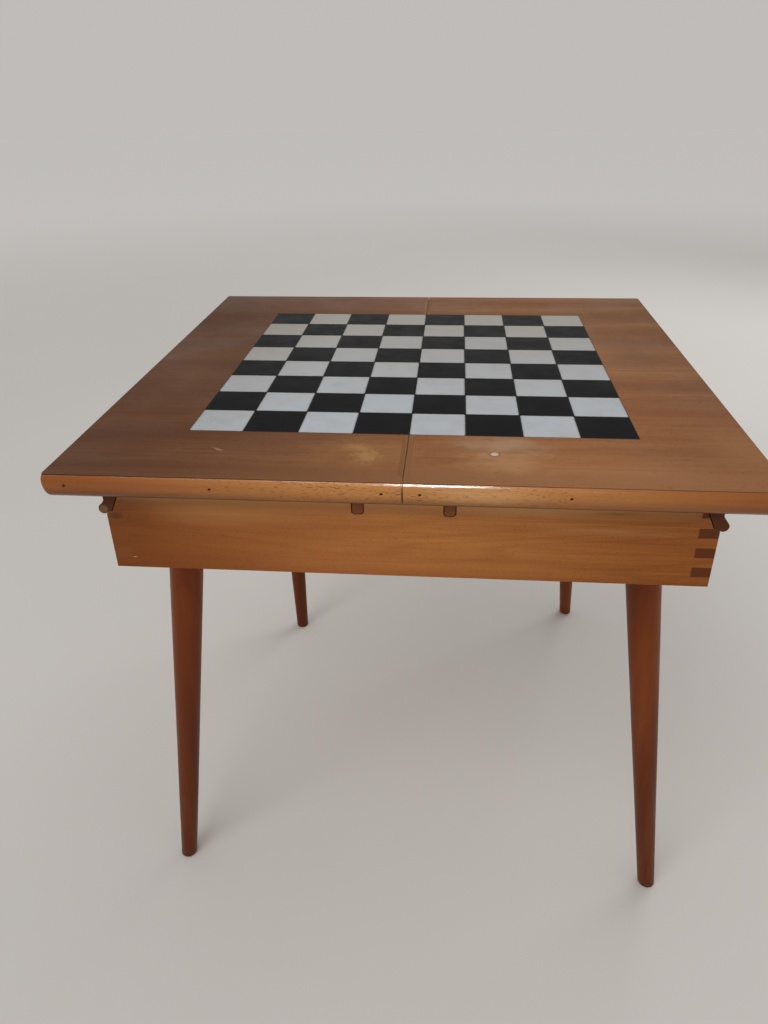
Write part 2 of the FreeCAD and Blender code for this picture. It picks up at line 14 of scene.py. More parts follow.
import bmesh
import bpy
import numpy as np
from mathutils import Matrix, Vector


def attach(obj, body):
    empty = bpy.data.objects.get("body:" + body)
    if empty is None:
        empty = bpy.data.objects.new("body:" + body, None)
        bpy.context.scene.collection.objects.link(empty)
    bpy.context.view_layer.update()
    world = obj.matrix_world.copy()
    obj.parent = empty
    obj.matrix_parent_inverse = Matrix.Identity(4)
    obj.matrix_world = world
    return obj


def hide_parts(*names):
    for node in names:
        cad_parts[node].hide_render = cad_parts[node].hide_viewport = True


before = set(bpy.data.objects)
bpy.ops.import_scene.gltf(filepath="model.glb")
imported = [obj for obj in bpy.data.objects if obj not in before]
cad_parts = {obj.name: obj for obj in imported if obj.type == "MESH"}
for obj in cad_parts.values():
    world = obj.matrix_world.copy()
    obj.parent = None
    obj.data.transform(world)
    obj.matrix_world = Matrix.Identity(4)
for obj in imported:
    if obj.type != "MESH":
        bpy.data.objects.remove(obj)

LOG = logging.getLogger("games_table")
Rgb = tuple[float, float, float]
Socket = bpy.types.NodeSocket
Material = bpy.types.Material
Piece = bpy.types.Object
Feed = Union[Socket, float, Rgb]

# A screen's curve is straight up to its knee and a power past it.
SCREEN_KNEE = 0.04045
SCREEN_SLOPE = 12.92
SCREEN_LIFT = 0.055
SCREEN_POWER = 2.4
# Side of a square, and half the board's width.
CELL = 0.05
HALF_BOARD = 0.2
# Points nearer than the first are one point, and edges shorter than the second are no edge.
MERGE = 2e-6
SLIVER = 1e-6
# Window that takes in most of a noise's values.
MIDDLE = (0.3, 0.7)


def tone(red: int, green: int, blue: int) -> Rgb:
    """Linear colour of a screen tone.

    Each channel over 255 has the screen curve undone: v over the slope up to the knee, past
    it (v + lift) / (1 + lift) to the power.

    Args:
        red: Channel from 0 to 255.
        green: Channel from 0 to 255.
        blue: Channel from 0 to 255.

    Returns:
        The linear channels.
    """
    def line(value: float) -> float:
        """One channel with the screen curve undone."""
        if value < SCREEN_KNEE:
            return value / SCREEN_SLOPE
        return ((value + SCREEN_LIFT) / (1.0 + SCREEN_LIFT)) ** SCREEN_POWER
    return line(red / 255), line(green / 255), line(blue / 255)


class Axis(Enum):
    """Axis of the table that fibres or a fade follow."""

    LEFT_RIGHT = 0
    FRONT_BACK = 1
    UPRIGHT = 2

    def spread(self, along: float, across: float) -> Rgb:
        """Pattern scales: along on this axis and across on the other two."""
        return tuple(along if axis == self.value else across for axis in range(3))


class Hand(Enum):
    """The two leaves and ends of the table; the value is the sign of x."""

    LEFT = -1
    RIGHT = 1

    @property
    def word(self) -> str:
        """Name used at the start of node names."""
        return self.name.lower()


# ---------------------------------------------------------------- node trees

class NodeTree:
    """Emptied node tree, with a short call for each kind of node that is often needed."""

    def __init__(self, tree: bpy.types.NodeTree) -> None:
        """Empty the tree.

        Args:
            tree: Tree of a material or of the world.
        """
        self.tree = tree
        self.tree.nodes.clear()

    def add(self, kind: str, feeds: dict, **settings: object) -> bpy.types.Node:
        """Add a node.

        Args:
            kind: Blender's name of the node type.
            feeds: For each input, by name or number, the socket or the value that feeds it.
            **settings: Properties of the node.

        Returns:
            The new node.
        """
        node = self.tree.nodes.new(kind)
        for setting, value in settings.items():
            setattr(node, setting, value)
        for socket, feed in feeds.items():
            if isinstance(feed, Socket):
                self.tree.links.new(feed, node.inputs[socket])
            else:
                node.inputs[socket].default_value = feed
        return node

    def sum(self, operation: str, *feeds: Feed) -> Socket:
        """Result of one arithmetic step on numbers."""
        return self.add("ShaderNodeMath", dict(enumerate(feeds)), operation=operation).outputs[0]

    def length(self, vector: Socket) -> Socket:
        """Length of a vector."""
        return self.add("ShaderNodeVectorMath", {0: vector},
                        operation="LENGTH").outputs["Value"]

    def split(self, vector: Socket) -> tuple:
        """The three numbers of a vector."""
        return tuple(self.add("ShaderNodeSeparateXYZ", {0: vector}).outputs)

    def ease(self, value: Feed, low: float, high: float, first: float = 0.0,
             last: float = 1.0) -> Socket:
        """Smooth step of a value from low to high, between first and last."""
        return self.add("ShaderNodeMapRange", {0: value, 1: low, 2: high, 3: first, 4: last},
                        interpolation_type="SMOOTHSTEP").outputs[0]

    def mix(self, share: Feed, base: Feed, top: Feed, blend: str = "MIX") -> Socket:
        """Mix two colours by a share.

        Args:
            share: 0 for the base, 1 for the top.
            base: Colour or socket under the mix.
            top: Colour or socket over it.
            blend: Blender's name of the way they mix.

        Returns:
            The mixed colour.
        """
        feeds = {0: share}
        for socket, feed in ((6, base), (7, top)):
            feeds[socket] = feed if isinstance(feed, Socket) else (*feed, 1.0)
        return self.add("ShaderNodeMix", feeds, data_type="RGBA", blend_type=blend).outputs[2]

    def worn(self, pattern: Socket, base: float, spread: tuple) -> Socket:
        """Roughness that goes with a pattern, from the base plus one number to plus the other."""
        return self.ease(pattern, *MIDDLE, base + spread[0], base + spread[1])

    def over(self, colour: Feed, top: Feed, share: Feed, strength: Feed) -> Socket:
        """Lay a colour over another by a share times a strength."""
        return self.mix(self.sum("MULTIPLY", share, strength), colour, top)


class Graph(NodeTree):
    """Node tree of one finish: a Principled shader and patterns on Object coordinates."""

    RAGS = 3.0

    def __init__(self, name: str) -> None:
        """Start a material.

        Args:
            name: Name of the material.
        """
        self.material = bpy.data.materials.new(name)
        self.material.use_nodes = True
        super().__init__(self.material.node_tree)
        self.shader = self.add("ShaderNodeBsdfPrincipled", {})
        self.add("ShaderNodeOutputMaterial", {"Surface": self.shader.outputs["BSDF"]})
        where = self.add("ShaderNodeTexCoord", {})
        self.place = where.outputs["Object"]
        self.facing = where.outputs["Normal"]

    def stretched(self, scale: Rgb, shift: Rgb = (0.0, 0.0, 0.0)) -> Socket:
        """Object coordinates times a scale on each axis, plus a shift."""
        return self.add("ShaderNodeMapping", {"Vector": self.place, "Scale": scale,
                                              "Location": shift}).outputs[0]

    def noise(self, scale: Rgb, shift: Rgb = (0.0, 0.0, 0.0), detail: float = 2.0,
              rough: float = 0.5, swirl: float = 0.0) -> Socket:
        """Noise with a number of features per metre on each axis.

        Args:
            scale: Features per metre on each axis.
            shift: Offset that gives each piece its own pattern.
            detail: Number of finer layers.
            rough: Strength of the finer layers.
            swirl: Distortion of the pattern by itself.

        Returns:
            A number round 0.5.
        """
        return self.add("ShaderNodeTexNoise", {
            "Vector": self.stretched(scale, shift), "Scale": 1.0, "Detail": detail,
            "Roughness": rough, "Distortion": swirl}).outputs["Fac"]

    def near(self, centre: Rgb, reach: Rgb, soft: float = 1.0, ragged: float = 0.0,
             turn: float = 0.0) -> Socket:
        """Share that is 1 at a place and 0 past its reach.

        It is one minus the length of (position - centre) / reach, eased, with noise added to
        the length where the outline is ragged: RAGS of its features in each half size. The
        reach may lie turned about the upright.

        Args:
            centre: The place, in metres.
            reach: Half sizes on the three axes; a large one leaves the axis out.
            soft: Part of the reach that the outline takes to fade.
            ragged: Strength of the noise on the outline.
            turn: Turn of the reach in degrees.

        Returns:
            The share.
        """
        moved = self.add("ShaderNodeMapping", {
            "Vector": self.place, "Location": centre, "Scale": reach,
            "Rotation": (0.0, 0.0, math.radians(turn))}, vector_type="TEXTURE").outputs[0]
        away = self.length(moved)
        if ragged:
            rough = self.noise(tuple(self.RAGS / min(size, 1.0) for size in reach), detail=4.0,
                               rough=0.6)
            away = self.sum("ADD", away,
                            self.sum("MULTIPLY", self.sum("SUBTRACT", rough, 0.5), ragged))
        return self.ease(away, 1.0 - soft, 1.0, 1.0, 0.0)

    def relief(self, height: Socket, depth: float) -> None:
        """Bump the surface by a height pattern of a real depth in metres."""
        bump = self.add("ShaderNodeBump", {"Height": height, "Distance": depth,
                                           "Strength": 1.0})
        for socket in ("Normal", "Coat Normal"):
            self.tree.links.new(bump.outputs[0], self.shader.inputs[socket])

    def close(self, colour: Feed, roughness: Feed, **fixed: float) -> Material:
        """Feed the shader and give the material.

        Args:
            colour: Socket or linear colour of the surface.
            roughness: Socket or number.
            **fixed: Constant sockets, with underscores for spaces in their names.

        Returns:
            The finished material.
        """
        for name, feed in (("Base Color", colour), ("Roughness", roughness)):
            if isinstance(feed, Socket):
                self.tree.links.new(feed, self.shader.inputs[name])
            else:
                value = (*feed, 1.0) if name == "Base Color" else feed
                self.shader.inputs[name].default_value = value
        for name, value in fixed.items():
            self.shader.inputs[name.replace("_", " ")].default_value = value
        return self.material


# ---------------------------------------------------------------- finishes

@dataclass(frozen=True)
class Fade:
    """A tint laid on more and more away from a centre on one axis; on this table mostly painted
    light and shade across a piece.
    """

    axis: Axis
    start: float
    end: float
    tint: Rgb
    centre: float = 0.0

    def lay(self, graph: Graph, colour: Feed) -> Socket:
        """Multiply a colour by the tint, eased from start to end away from the centre."""
        away = graph.sum("ABSOLUTE", graph.sum("SUBTRACT",
                                               graph.split(graph.place)[self.axis.value],
                                               self.centre))
        return graph.mix(graph.ease(away, self.start, self.end), colour, self.tint, "MULTIPLY")


@dataclass(frozen=True)
class Blemish:
    """A patch of another tone with a soft or ragged outline: a mark on a surface, or painted
    light or shade.
    """

    centre: Rgb
    reach: Rgb
    colour: Rgb
    strength: float
    soft: float = 1.0
    ragged: float = 0.0
    turn: float = 0.0

    def lay(self, graph: Graph, colour: Feed) -> Socket:
        """Mix the mark over a colour."""
        share = graph.near(self.centre, self.reach, self.soft, self.ragged, self.turn)
        return graph.over(colour, self.colour, share, self.strength)


@dataclass(frozen=True)
class Face:
    """A face that marks lie on, its place on the axis across it and their reach through it."""

    axis: Axis
    place: float
    through: float

    def mark(self, middle: tuple, half: tuple, colour: Rgb, strength: float,
             *outline: float) -> Blemish:
        """Mark on the face.

        Args:
            middle: The mark's middle on the face's two axes, in their usual order.
            half: Its half sizes on them.
            colour: Linear colour.
            strength: Share of the colour at the middle.
            *outline: Softness, raggedness and turn of its outline, as a Blemish has them.

        Returns:
            The mark.
        """
        across = self.axis.value
        centre = (*middle[:across], self.place, *middle[across:])
        reach = (*half[:across], self.through, *half[across:])
        return Blemish(centre, reach, colour, strength, *outline)


@dataclass(frozen=True)
class PaintedArris:
    """Board paint that runs over an upper arris, light and dark in step with the cells."""

    light_first: bool
    light: Rgb
    dark: Rgb
    upward: tuple = (0.4, 0.7)

    def lay(self, graph: Graph, colour: Feed) -> Socket:
        """Paint the cells over a colour, where the face looks up and inside the board.

        The rest of y over two cells, under one cell, marks the first, third, fifth and seventh
        cell from the front.

        Args:
            graph: Node tree of the finish.
            colour: Colour or socket under the paint.

        Returns:
            The colour with the paint on it.
        """
        along = graph.split(graph.place)[1]
        rest = graph.sum("FLOORED_MODULO", along, 2 * CELL)
        odd = graph.sum("LESS_THAN", rest, CELL)
        tones = (self.dark, self.light) if self.light_first else (self.light, self.dark)
        inside = graph.sum("LESS_THAN", graph.sum("ABSOLUTE", along), HALF_BOARD)
        upward = graph.ease(graph.split(graph.facing)[2], *self.upward)
        return graph.over(colour, graph.mix(odd, *tones), inside, upward)


@dataclass(frozen=True)
class Wood:
    """Timber: long figure, fine streaks, short dark flecks, end grain, and its varnish.

    A grain is a number of features per metre, along the fibres and across them; a rate is one
    in all directions. A window gives the values of a pattern, or of the normal, between which
    its share rises. The relief has a depth in metres, and the ripple is the strength in it of
    the short waves that varnish shows over flecks.
    """

    name: str
    grain: Axis
    pale: Rgb
    deep: Rgb
    fleck: Rgb
    end: Rgb
    figure: float = 0.35
    streaks: float = 0.5
    flecks: float = 0.6
    fleck_level: float = 0.64
    fleck_size: tuple = (380.0, 1900.0)
    fleck_spread: tuple = (0.0, 1.0, 1.0)
    fineness: float = 420.0
    rings: float = 0.2
    roughness: float = 0.42
    coat: float = 0.0
    coat_roughness: float = 0.2
    specular: float = 0.22
    depth: float = 0.00006
    ripple: float = 0.0
    shift: float = 0.0
    side: Rgb | None = None
    marks: tuple = ()
    skew: Rgb = (1.0, 1.7, 0.6)
    slow_grain: tuple = (1.6, 22.0)
    figure_grain: tuple = (1.9, 15.0)
    figure_lines: float = 13.0
    streak_length: float = 9.0
    fleck_edge: float = 0.05
    pith: Rgb = (0.11, 0.07, -0.42)
    ring_rate: float = 420.0
    pore_rate: float = 1500.0
    relief_grain: tuple = (30.0, 900.0)
    ripple_grain: tuple = (330.0, 800.0)
    wear_rate: float = 14.0
    wear_spread: tuple = (-0.07, 0.09)
    end_rougher: float = 0.12
    figure_window: tuple = (0.28, 0.5)
    streak_window: tuple = (0.38, 0.68)
    ring_window: tuple = (0.1, 0.5)
    ring_waver: float = 60.0
    pore_window: tuple = (0.55, 0.7)
    end_window: tuple = (0.6, 0.85)
    side_window: tuple = (0.5, 0.8)

    def side_colour(self, graph: Graph) -> Socket:
        """Colour where the fibres lie in the surface.

        A slow change of tone, contour lines of a stretched noise for the figure, streaks a
        millimetre wide, and flecks where a short-grained noise passes a level. From the start
        to the end of their spread, left and right of the seam, the flecks thin out to the share
        that is left.

        Args:
            graph: Node tree of the finish.

        Returns:
            The colour.
        """
        turn = tuple(self.shift * part for part in self.skew)
        slow = graph.noise(self.grain.spread(*self.slow_grain), turn, 3.0)
        colour = graph.mix(graph.ease(slow, *MIDDLE), self.pale, self.deep)
        bed = graph.noise(self.grain.spread(*self.figure_grain), turn, 2.0, 0.4, 0.3)
        lines = graph.sum("PINGPONG", graph.sum("MULTIPLY", bed, self.figure_lines), 0.5)
        share = graph.ease(lines, *self.figure_window)
        colour = graph.over(colour, self.deep, share, self.figure)
        fine = graph.noise(self.grain.spread(self.streak_length, self.fineness), turn, 4.0, 0.65)
        share = graph.ease(fine, *self.streak_window)
        colour = graph.over(colour, self.deep, share, self.streaks)
        short = graph.noise(self.grain.spread(*self.fleck_size), turn, 1.0)
        share = graph.ease(short, self.fleck_level, self.fleck_level + self.fleck_edge)
        start, end, left = self.fleck_spread
        thin = graph.ease(graph.sum("ABSOLUTE", graph.split(graph.place)[0]), start, end,
                          self.flecks, self.flecks * left)
        return graph.over(colour, self.fleck, share, thin)

    def end_colour(self, graph: Graph) -> Socket:
        """Colour where the fibres are cut across: growth rings and open pores.

        Rings are the contour lines of the distance from a pith beside the piece.

        Args:
            graph: Node tree of the finish.

        Returns:
            The colour.
        """
        away = graph.length(graph.stretched(self.grain.spread(0.0, 1.0), self.pith))
        wave = graph.sum("ADD", graph.sum("MULTIPLY", away, self.ring_rate),
                         graph.noise((self.ring_waver,) * 3))
        ring = graph.ease(graph.sum("PINGPONG", wave, 0.5), *self.ring_window)
        colour = graph.over(self.end, self.fleck, ring, self.rings)
        pores = graph.ease(graph.noise((self.pore_rate,) * 3, detail=1.0), *self.pore_window)
        return graph.over(colour, self.fleck, pores, self.rings)

    def build(self) -> Material:
        """Make the material.

        Returns:
            The finished material.
        """
        graph = Graph(self.name)
        colour = self.side_colour(graph)
        facing = graph.split(graph.facing)
        across = graph.ease(graph.sum("ABSOLUTE", facing[self.grain.value]), *self.end_window)
        colour = graph.mix(across, colour, self.end_colour(graph))
        if self.side:
            upright = graph.ease(graph.sum("ABSOLUTE", facing[2]), *self.side_window, 1.0, 0.0)
            colour = graph.mix(upright, colour, self.side)
        for mark in self.marks:
            colour = mark.lay(graph, colour)
        turn = (self.shift,) * 3
        relief = graph.noise(self.grain.spread(*self.relief_grain), turn, 3.0, 0.6)
        if self.ripple:
            short = graph.noise(self.grain.spread(*self.ripple_grain), turn, 1.0)
            relief = graph.sum("ADD", relief, graph.sum("MULTIPLY", short, self.ripple))
        graph.relief(relief, self.depth)
        wear = graph.noise((self.wear_rate,) * 3, turn, 4.0, 0.6)
        rough = graph.sum("ADD", graph.worn(wear, self.roughness, self.wear_spread),
                          graph.sum("MULTIPLY", across, self.end_rougher))
        return graph.close(colour, rough, Coat_Weight=self.coat,
                           Coat_Roughness=self.coat_roughness, Specular_IOR_Level=self.specular)


@dataclass(frozen=True)
class BoardPaint:
    """Enamel of the board's squares under varnish, with dirt along the edges of each cell."""

    name: str
    near_tone: Rgb
    far_tone: Rgb
    cloud: Rgb
    edge: Rgb
    edge_share: float
    edge_wide: float
    specular: float = 0.1
    roughness: float = 0.42
    marks: tuple = ()
    cloud_rate: float = 38.0
    cloud_window: tuple = (0.4, 0.8)
    cloud_share: float = 0.5
    brush: Rgb = (30.0, 700.0, 30.0)
    brush_window: tuple = (0.5, 0.8)
    brush_share: float = 0.15
    wear_spread: tuple = (-0.05, 0.08)
    waver_rate: Rgb = (260.0, 260.0, 40.0)
    waver: float = 0.0016
    edge_start: float = 0.0002
    relief_rate: Rgb = (420.0, 420.0, 60.0)
    depth: float = 0.00003

    def build(self) -> Material:
        """Make the material.

        The tone goes from near to far along the board as painted light: more sheen on the black
        at the back and less light on the white there. It lies under clouds and brush marks that
        run from left to right. The distance to the nearest line of the board is the ping-pong of
        x or y over half a cell, whichever is less, and it wavers with noise.

        Returns:
            The finished material.
        """
        graph = Graph(self.name)
        place = graph.split(graph.place)
        # Painted light: the tone ramps from the near edge of the board to the far one.
        far = graph.ease(place[1], -HALF_BOARD, HALF_BOARD)
        colour = graph.mix(far, self.near_tone, self.far_tone)
        clouds = graph.noise((self.cloud_rate,) * 3, detail=5.0, rough=0.6)
        share = graph.ease(clouds, *self.cloud_window, 0.0, self.cloud_share)
        colour = graph.mix(share, colour, self.cloud)
        streak = graph.noise(self.brush, detail=3.0)
        share = graph.ease(streak, *self.brush_window, 0.0, self.brush_share)
        colour = graph.mix(share, colour, self.cloud)
        for mark in self.marks:
            colour = mark.lay(graph, colour)
        gaps = [graph.sum("PINGPONG", value, CELL / 2) for value in place[:2]]
        swing = graph.sum("SUBTRACT", graph.noise(self.waver_rate, detail=3.0), 0.5)
        gap = graph.sum("ADD", graph.sum("MINIMUM", *gaps),
                        graph.sum("MULTIPLY", swing, self.waver))
        dirt = graph.ease(gap, self.edge_start, self.edge_wide, self.edge_share, 0.0)
        colour = graph.mix(dirt, colour, self.edge)
        graph.relief(graph.noise(self.relief_rate), self.depth)
        rough = graph.worn(clouds, self.roughness, self.wear_spread)
        return graph.close(colour, rough, Specular_IOR_Level=self.specular)


@dataclass(frozen=True)
class PlainMetal:
    """Drawn or plated metal with fine scratches and a little tarnish."""

    name: str
    body: Rgb
    tarnish: Rgb
    roughness: float
    slow_rate: float = 90.0
    scratch_rate: float = 1800.0
    tarnish_window: tuple = (0.4, 0.7)
    wear_spread: tuple = (-0.08, 0.1)
    depth: float = 0.00002

    def build(self) -> Material:
        """Make the material: two tones by a slow noise, roughness and relief by a fine one."""
        graph = Graph(self.name)
        slow = graph.noise((self.slow_rate,) * 3, detail=4.0)
        colour = graph.mix(graph.ease(slow, *self.tarnish_window), self.body, self.tarnish)
        fine = graph.noise((self.scratch_rate,) * 3)
        graph.relief(fine, self.depth)
        rough = graph.worn(fine, self.roughness, self.wear_spread)
        return graph.close(colour, rough, Metallic=1.0)


@dataclass(frozen=True)
class StudioSurface:
    """Matt pale floor with a faint unevenness, paler away from the middle."""

    name: str
    body: Rgb
    far: Rgb
    start: float = 1.2
    end: float = 6.0
    slow_rate: float = 1.3
    darker: float = 0.97
    roughness: float = 0.75
    specular: float = 0.2

    def build(self) -> Material:
        """Make the material: a slow noise, and a fade by the distance from the middle."""
        graph = Graph(self.name)
        slow = graph.noise((self.slow_rate,) * 3, detail=3.0)
        darker = tuple(channel * self.darker for channel in self.body)
        colour = graph.mix(graph.ease(slow, *MIDDLE), self.body, darker)
        away = graph.ease(graph.length(graph.place), self.start, self.end)
        colour = graph.mix(away, colour, self.far)
        return graph.close(colour, self.roughness, Specular_IOR_Level=self.specular)


# ---------------------------------------------------------------- surfaces

def placed(name: str, data: bpy.types.ID) -> Piece:
    """New object with this mesh, lamp or camera, in the scene and at the origin."""
    piece = bpy.data.objects.new(name, data)
    bpy.context.scene.collection.objects.link(piece)
    return piece


def arc(radius: float, centre: tuple, first: float, last: float, count: int) -> np.ndarray:
    """Points on a circle: centre + radius * (cos a, sin a) for even angles a in degrees.

    Args:
        radius: Radius.
        centre: Centre in the plane.
        first: First angle.
        last: Last angle.
        count: Number of points.

    Returns:
        Array of count rows and two columns.
    """
    angle = np.radians(np.linspace(first, last, count))
    return np.stack([centre[0] + radius * np.cos(angle),
                     centre[1] + radius * np.sin(angle)], axis=1)


def closed_sweep(name: str, *shells: np.ndarray, sharp: float = 38.0) -> Piece:
    """Closed solids from rings of points: point (i, j) is point j of the section at station i.

    Neighbouring rings are joined by four-sided faces, and the first and last ring are closed.

    Args:
        name: Name of the piece.
        *shells: For each solid, an array of stations by ring points by three coordinates.
        sharp: Angle in degrees past which an edge stays crisp.

    Returns:
        The new object, at the origin.
    """
    faces, first = [], 0
    for rings in shells:
        stations, count = rings.shape[:2]
        row, column = np.meshgrid(np.arange(stations - 1), np.arange(count), indexing="ij")
        ahead = (column + 1) % count
        quads = np.stack([row * count + column, row * count + ahead,
                          (row + 1) * count + ahead, (row + 1) * count + column], axis=-1)
        last = (stations - 1) * count
        faces += (quads.reshape(-1, 4) + first).tolist()
        faces += [(np.arange(count) + first).tolist(), (np.arange(count) + first + last).tolist()]
        first += stations * count
    points = np.concatenate([rings.reshape(-1, 3) for rings in shells])
    mesh = bpy.data.meshes.new(name)
    mesh.from_pydata(points.tolist(), [], faces)
    return settled(name, mesh, sharp)


def settled(name: str, mesh: bpy.types.Mesh, sharp: float, flatten: bool = False,
            plane: float = 0.5) -> Piece:
    """Merge doubles, face a mesh outwards, smooth it up to an angle and link it.

    Args:
        name: Name of the piece.
        mesh: Mesh of the piece.
        sharp: Angle in degrees past which an edge stays crisp.
        flatten: Join faces that lie in one plane.
        plane: Angle in degrees up to which they do.

    Returns:
        The new object, at the origin.
    """
    work = bmesh.new()
    work.from_mesh(mesh)
    bmesh.ops.remove_doubles(work, verts=work.verts, dist=MERGE)
    bmesh.ops.dissolve_degenerate(work, edges=work.edges, dist=SLIVER)
    if flatten:
        bmesh.ops.dissolve_limit(work, angle_limit=math.radians(plane), verts=work.verts,
                                 edges=work.edges)
    bmesh.ops.recalc_face_normals(work, faces=work.faces)
    work.to_mesh(mesh)
    work.free()
    mesh.polygons.foreach_set("use_smooth", np.ones(len(mesh.polygons), dtype=bool))
    mesh.set_sharp_from_angle(angle=math.radians(sharp))
    return placed(name, mesh)


def softened(node: str, width: float, sharp: float = 30.0, eased: float = 40.0) -> Piece:
    """Copy of a solid with its doubles merged and its crisp edges eased by a small bevel.

    Args:
        node: Name of the solid's node.
        width: Width of the bevel.
        sharp: Angle in degrees past which an edge stays crisp.
        eased: Angle in degrees past which an edge is eased.

    Returns:
        The new object, at the origin.
    """
    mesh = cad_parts[node].data.copy()
    mesh.materials.clear()
    piece = settled(f"{node}_eased", mesh, sharp, flatten=True)
    bevel = piece.modifiers.new("eased_edges", "BEVEL")
    bevel.width = width
    bevel.segments = 2
    bevel.limit_method = "ANGLE"
    bevel.angle_limit = math.radians(eased)
    bevel.harden_normals = True
    return piece


def hand_over(piece: Piece, body: str, slot: str, finish: Material, *nodes: str) -> None:
    """Give a new piece its finish, the body it moves with and the solids it stands for.

    Args:
        piece: The new object.
        body: Name of the moving body.
        slot: Name of the material slot in the record; not used.
        finish: Its material.
        *nodes: Solids that it replaces.
    """
    piece.data.materials.clear()
    piece.data.materials.append(finish)
    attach(piece, body)
    if nodes:
        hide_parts(*nodes)
    LOG.info("%s rides on %s", piece.name, body)


def dress(node: str, finish: Material) -> None:
    """Give a solid that stays in the picture its finish."""
    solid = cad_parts[node]
    if not solid.material_slots:
        solid.data.materials.append(finish)
    for slot in solid.material_slots:
        slot.material = finish
    LOG.info("%s is dressed", node)


# ---------------------------------------------------------------- finishes of this table

VARNISH_FLECK = tone(84, 46, 22)
PAINT_LIGHT = tone(163, 165, 165)
PAINT_DARK = tone(32, 32, 34)

TOP = Face(Axis.UPRIGHT, 0.535, 1.0)
FRONT = Face(Axis.FRONT_BACK, -0.28, 0.4)
CORNER = Face(Axis.FRONT_BACK, -0.28, 0.02)
NOSING = Face(Axis.FRONT_BACK, -0.294, 0.05)

# Painted shade: the box walls darker towards both ends than in their lit middle.
BOX_PAINTED_SHADE = Fade(Axis.LEFT_RIGHT, 0.01, 0.255, (0.59, 0.47, 0.32), -0.01)
# Painted light and shade: the long edging pale in the middle, where the light falls, and darker
# towards its ends.
EDGING_PAINTED_SHADE = Fade(Axis.LEFT_RIGHT, 0.03, 0.30, (0.55, 0.37, 0.21), 0.02)
# Painted shade: the edging darker on its lower curve, which gets less light.
EDGING_UNDER_PAINTED_SHADE = Fade(Axis.UPRIGHT, 0.005, 0.013, (0.79, 0.75, 0.62), 0.5305)
# Painted sheen: the top and lippings greyer and cooler towards the back.
DEPTH_PAINTED_SHEEN = Fade(Axis.FRONT_BACK, 0.05, 0.55, (0.84, 0.92, 1.04), -0.27)
# Partly a fade of the veneer, mostly painted light: the top lighter to the right, where the light
# is reflected, and darker to the left.
VENEER_FADE_AND_PAINTED_LIGHT = Fade(Axis.LEFT_RIGHT, 0.02, 0.42, (0.41, 0.37, 0.36), 0.15)
LEG_FADE = Fade(Axis.UPRIGHT, 0.05, 0.45, (0.60, 0.60, 0.62), 0.46)
PAINT_FADE = Fade(Axis.LEFT_RIGHT, 0.30, 0.40, (0.87, 0.84, 0.82), 0.2)

WALL_MARKS_AND_PAINTED_LIGHT = (
    BOX_PAINTED_SHADE,
    # Painted light: a pale band at the top of the front wall, over the shade that the nosing
    # casts.
    FRONT.mark((0.0, 0.513), (2.0, 0.0205), tone(178, 134, 88), 0.2, 0.6),
    FRONT.mark((0.0, 0.4942), (2.0, 0.0004), tone(190, 140, 90), 0.16, 0.5, 0.5),
    # Painted light: a paler strip just under the nosing, over its shade.
    FRONT.mark((-0.04, 0.5105), (0.55, 0.0085), tone(205, 152, 98), 0.75),
    # Painted light: a pale patch at the top of the wall on the left, over the nosing's shade.
    FRONT.mark((-0.15, 0.4950), (0.105, 0.020), tone(196, 142, 86), 0.34, 1.0, 0.4),
    FRONT.mark((-0.245, 0.4900), (0.060, 0.045), tone(96, 50, 20), 0.42),
    # Painted light: a pale strip under the nosing on the right, over its shade.
    FRONT.mark((0.10, 0.5065), (0.085, 0.0085), tone(205, 158, 108), 0.3),
    FRONT.mark((0.165, 0.4885), (0.085, 0.0065), tone(196, 146, 98), 0.22, 1.0, 1.0),
    FRONT.mark((0.175, 0.505), (0.03, 0.002), tone(88, 62, 36), 0.4, 1.0, 0.5),
    FRONT.mark((-0.236, 0.449), (0.0045, 0.0006), tone(196, 156, 112), 0.8, 0.6, 0.3))
CORNER_PAINTED_LIGHT_AND_SHADE = (
    # Painted light: a pale band at the top of the left end's fingers, over the shade under the
    # nosing.
    CORNER.mark((-0.2445, 0.5105), (0.05, 0.0085), tone(190, 136, 84), 0.5),
    # Painted shade: the top finger darker under the hinge bead.
    CORNER.mark((-0.2445, 0.4895), (0.0095, 0.005), tone(78, 44, 22), 0.7, 0.7, 0.5))
EDGING_MARKS_AND_PAINTED_LIGHT = (
    EDGING_PAINTED_SHADE,
    EDGING_UNDER_PAINTED_SHADE,
    # Painted reflection: a pale halo on the nosing round the window's highlight.
    NOSING.mark((0.06, 0.5255), (0.065, 0.012), tone(218, 176, 124), 0.4, 1.0, 0.8),
    # Painted shade: the nosing darker along its lower curve, in the middle and on the left.
    NOSING.mark((0.02, 0.5150), (0.17, 0.005), tone(108, 82, 54), 0.5, 0.9, 1.8),
    NOSING.mark((-0.24, 0.5150), (0.17, 0.010), tone(96, 50, 20), 0.52, 1.0, 0.6),
    # Painted shade: a dark line at the nosing's lower edge, for the shadowed crack above the
    # wall.
    NOSING.mark((0.0, 0.5130), (2.0, 0.0023), tone(70, 36, 14), 0.6, 0.45),
    Blemish((0.0, 0.0, 0.5235), (0.0013, 2.0, 0.012), tone(58, 30, 14), 0.8, 0.7))
LEG_MARKS_AND_PAINTED_LIGHT = (
    LEG_FADE,
    # Painted light: the rear right leg lighter towards its foot.
    Blemish((0.240, 0.270, 0.05), (0.05, 0.08, 0.16), tone(160, 84, 40), 0.3, 0.8))
HINGE_PAINTED_LIGHT = (
    # Painted light: the left hinge's bead lighter, where light falls on it below the shaded
    # moulding.
    Blemish((-0.2544, 0.0, 0.496), (0.0048, 9.0, 0.0048), tone(124, 90, 66), 0.8, 0.45),)
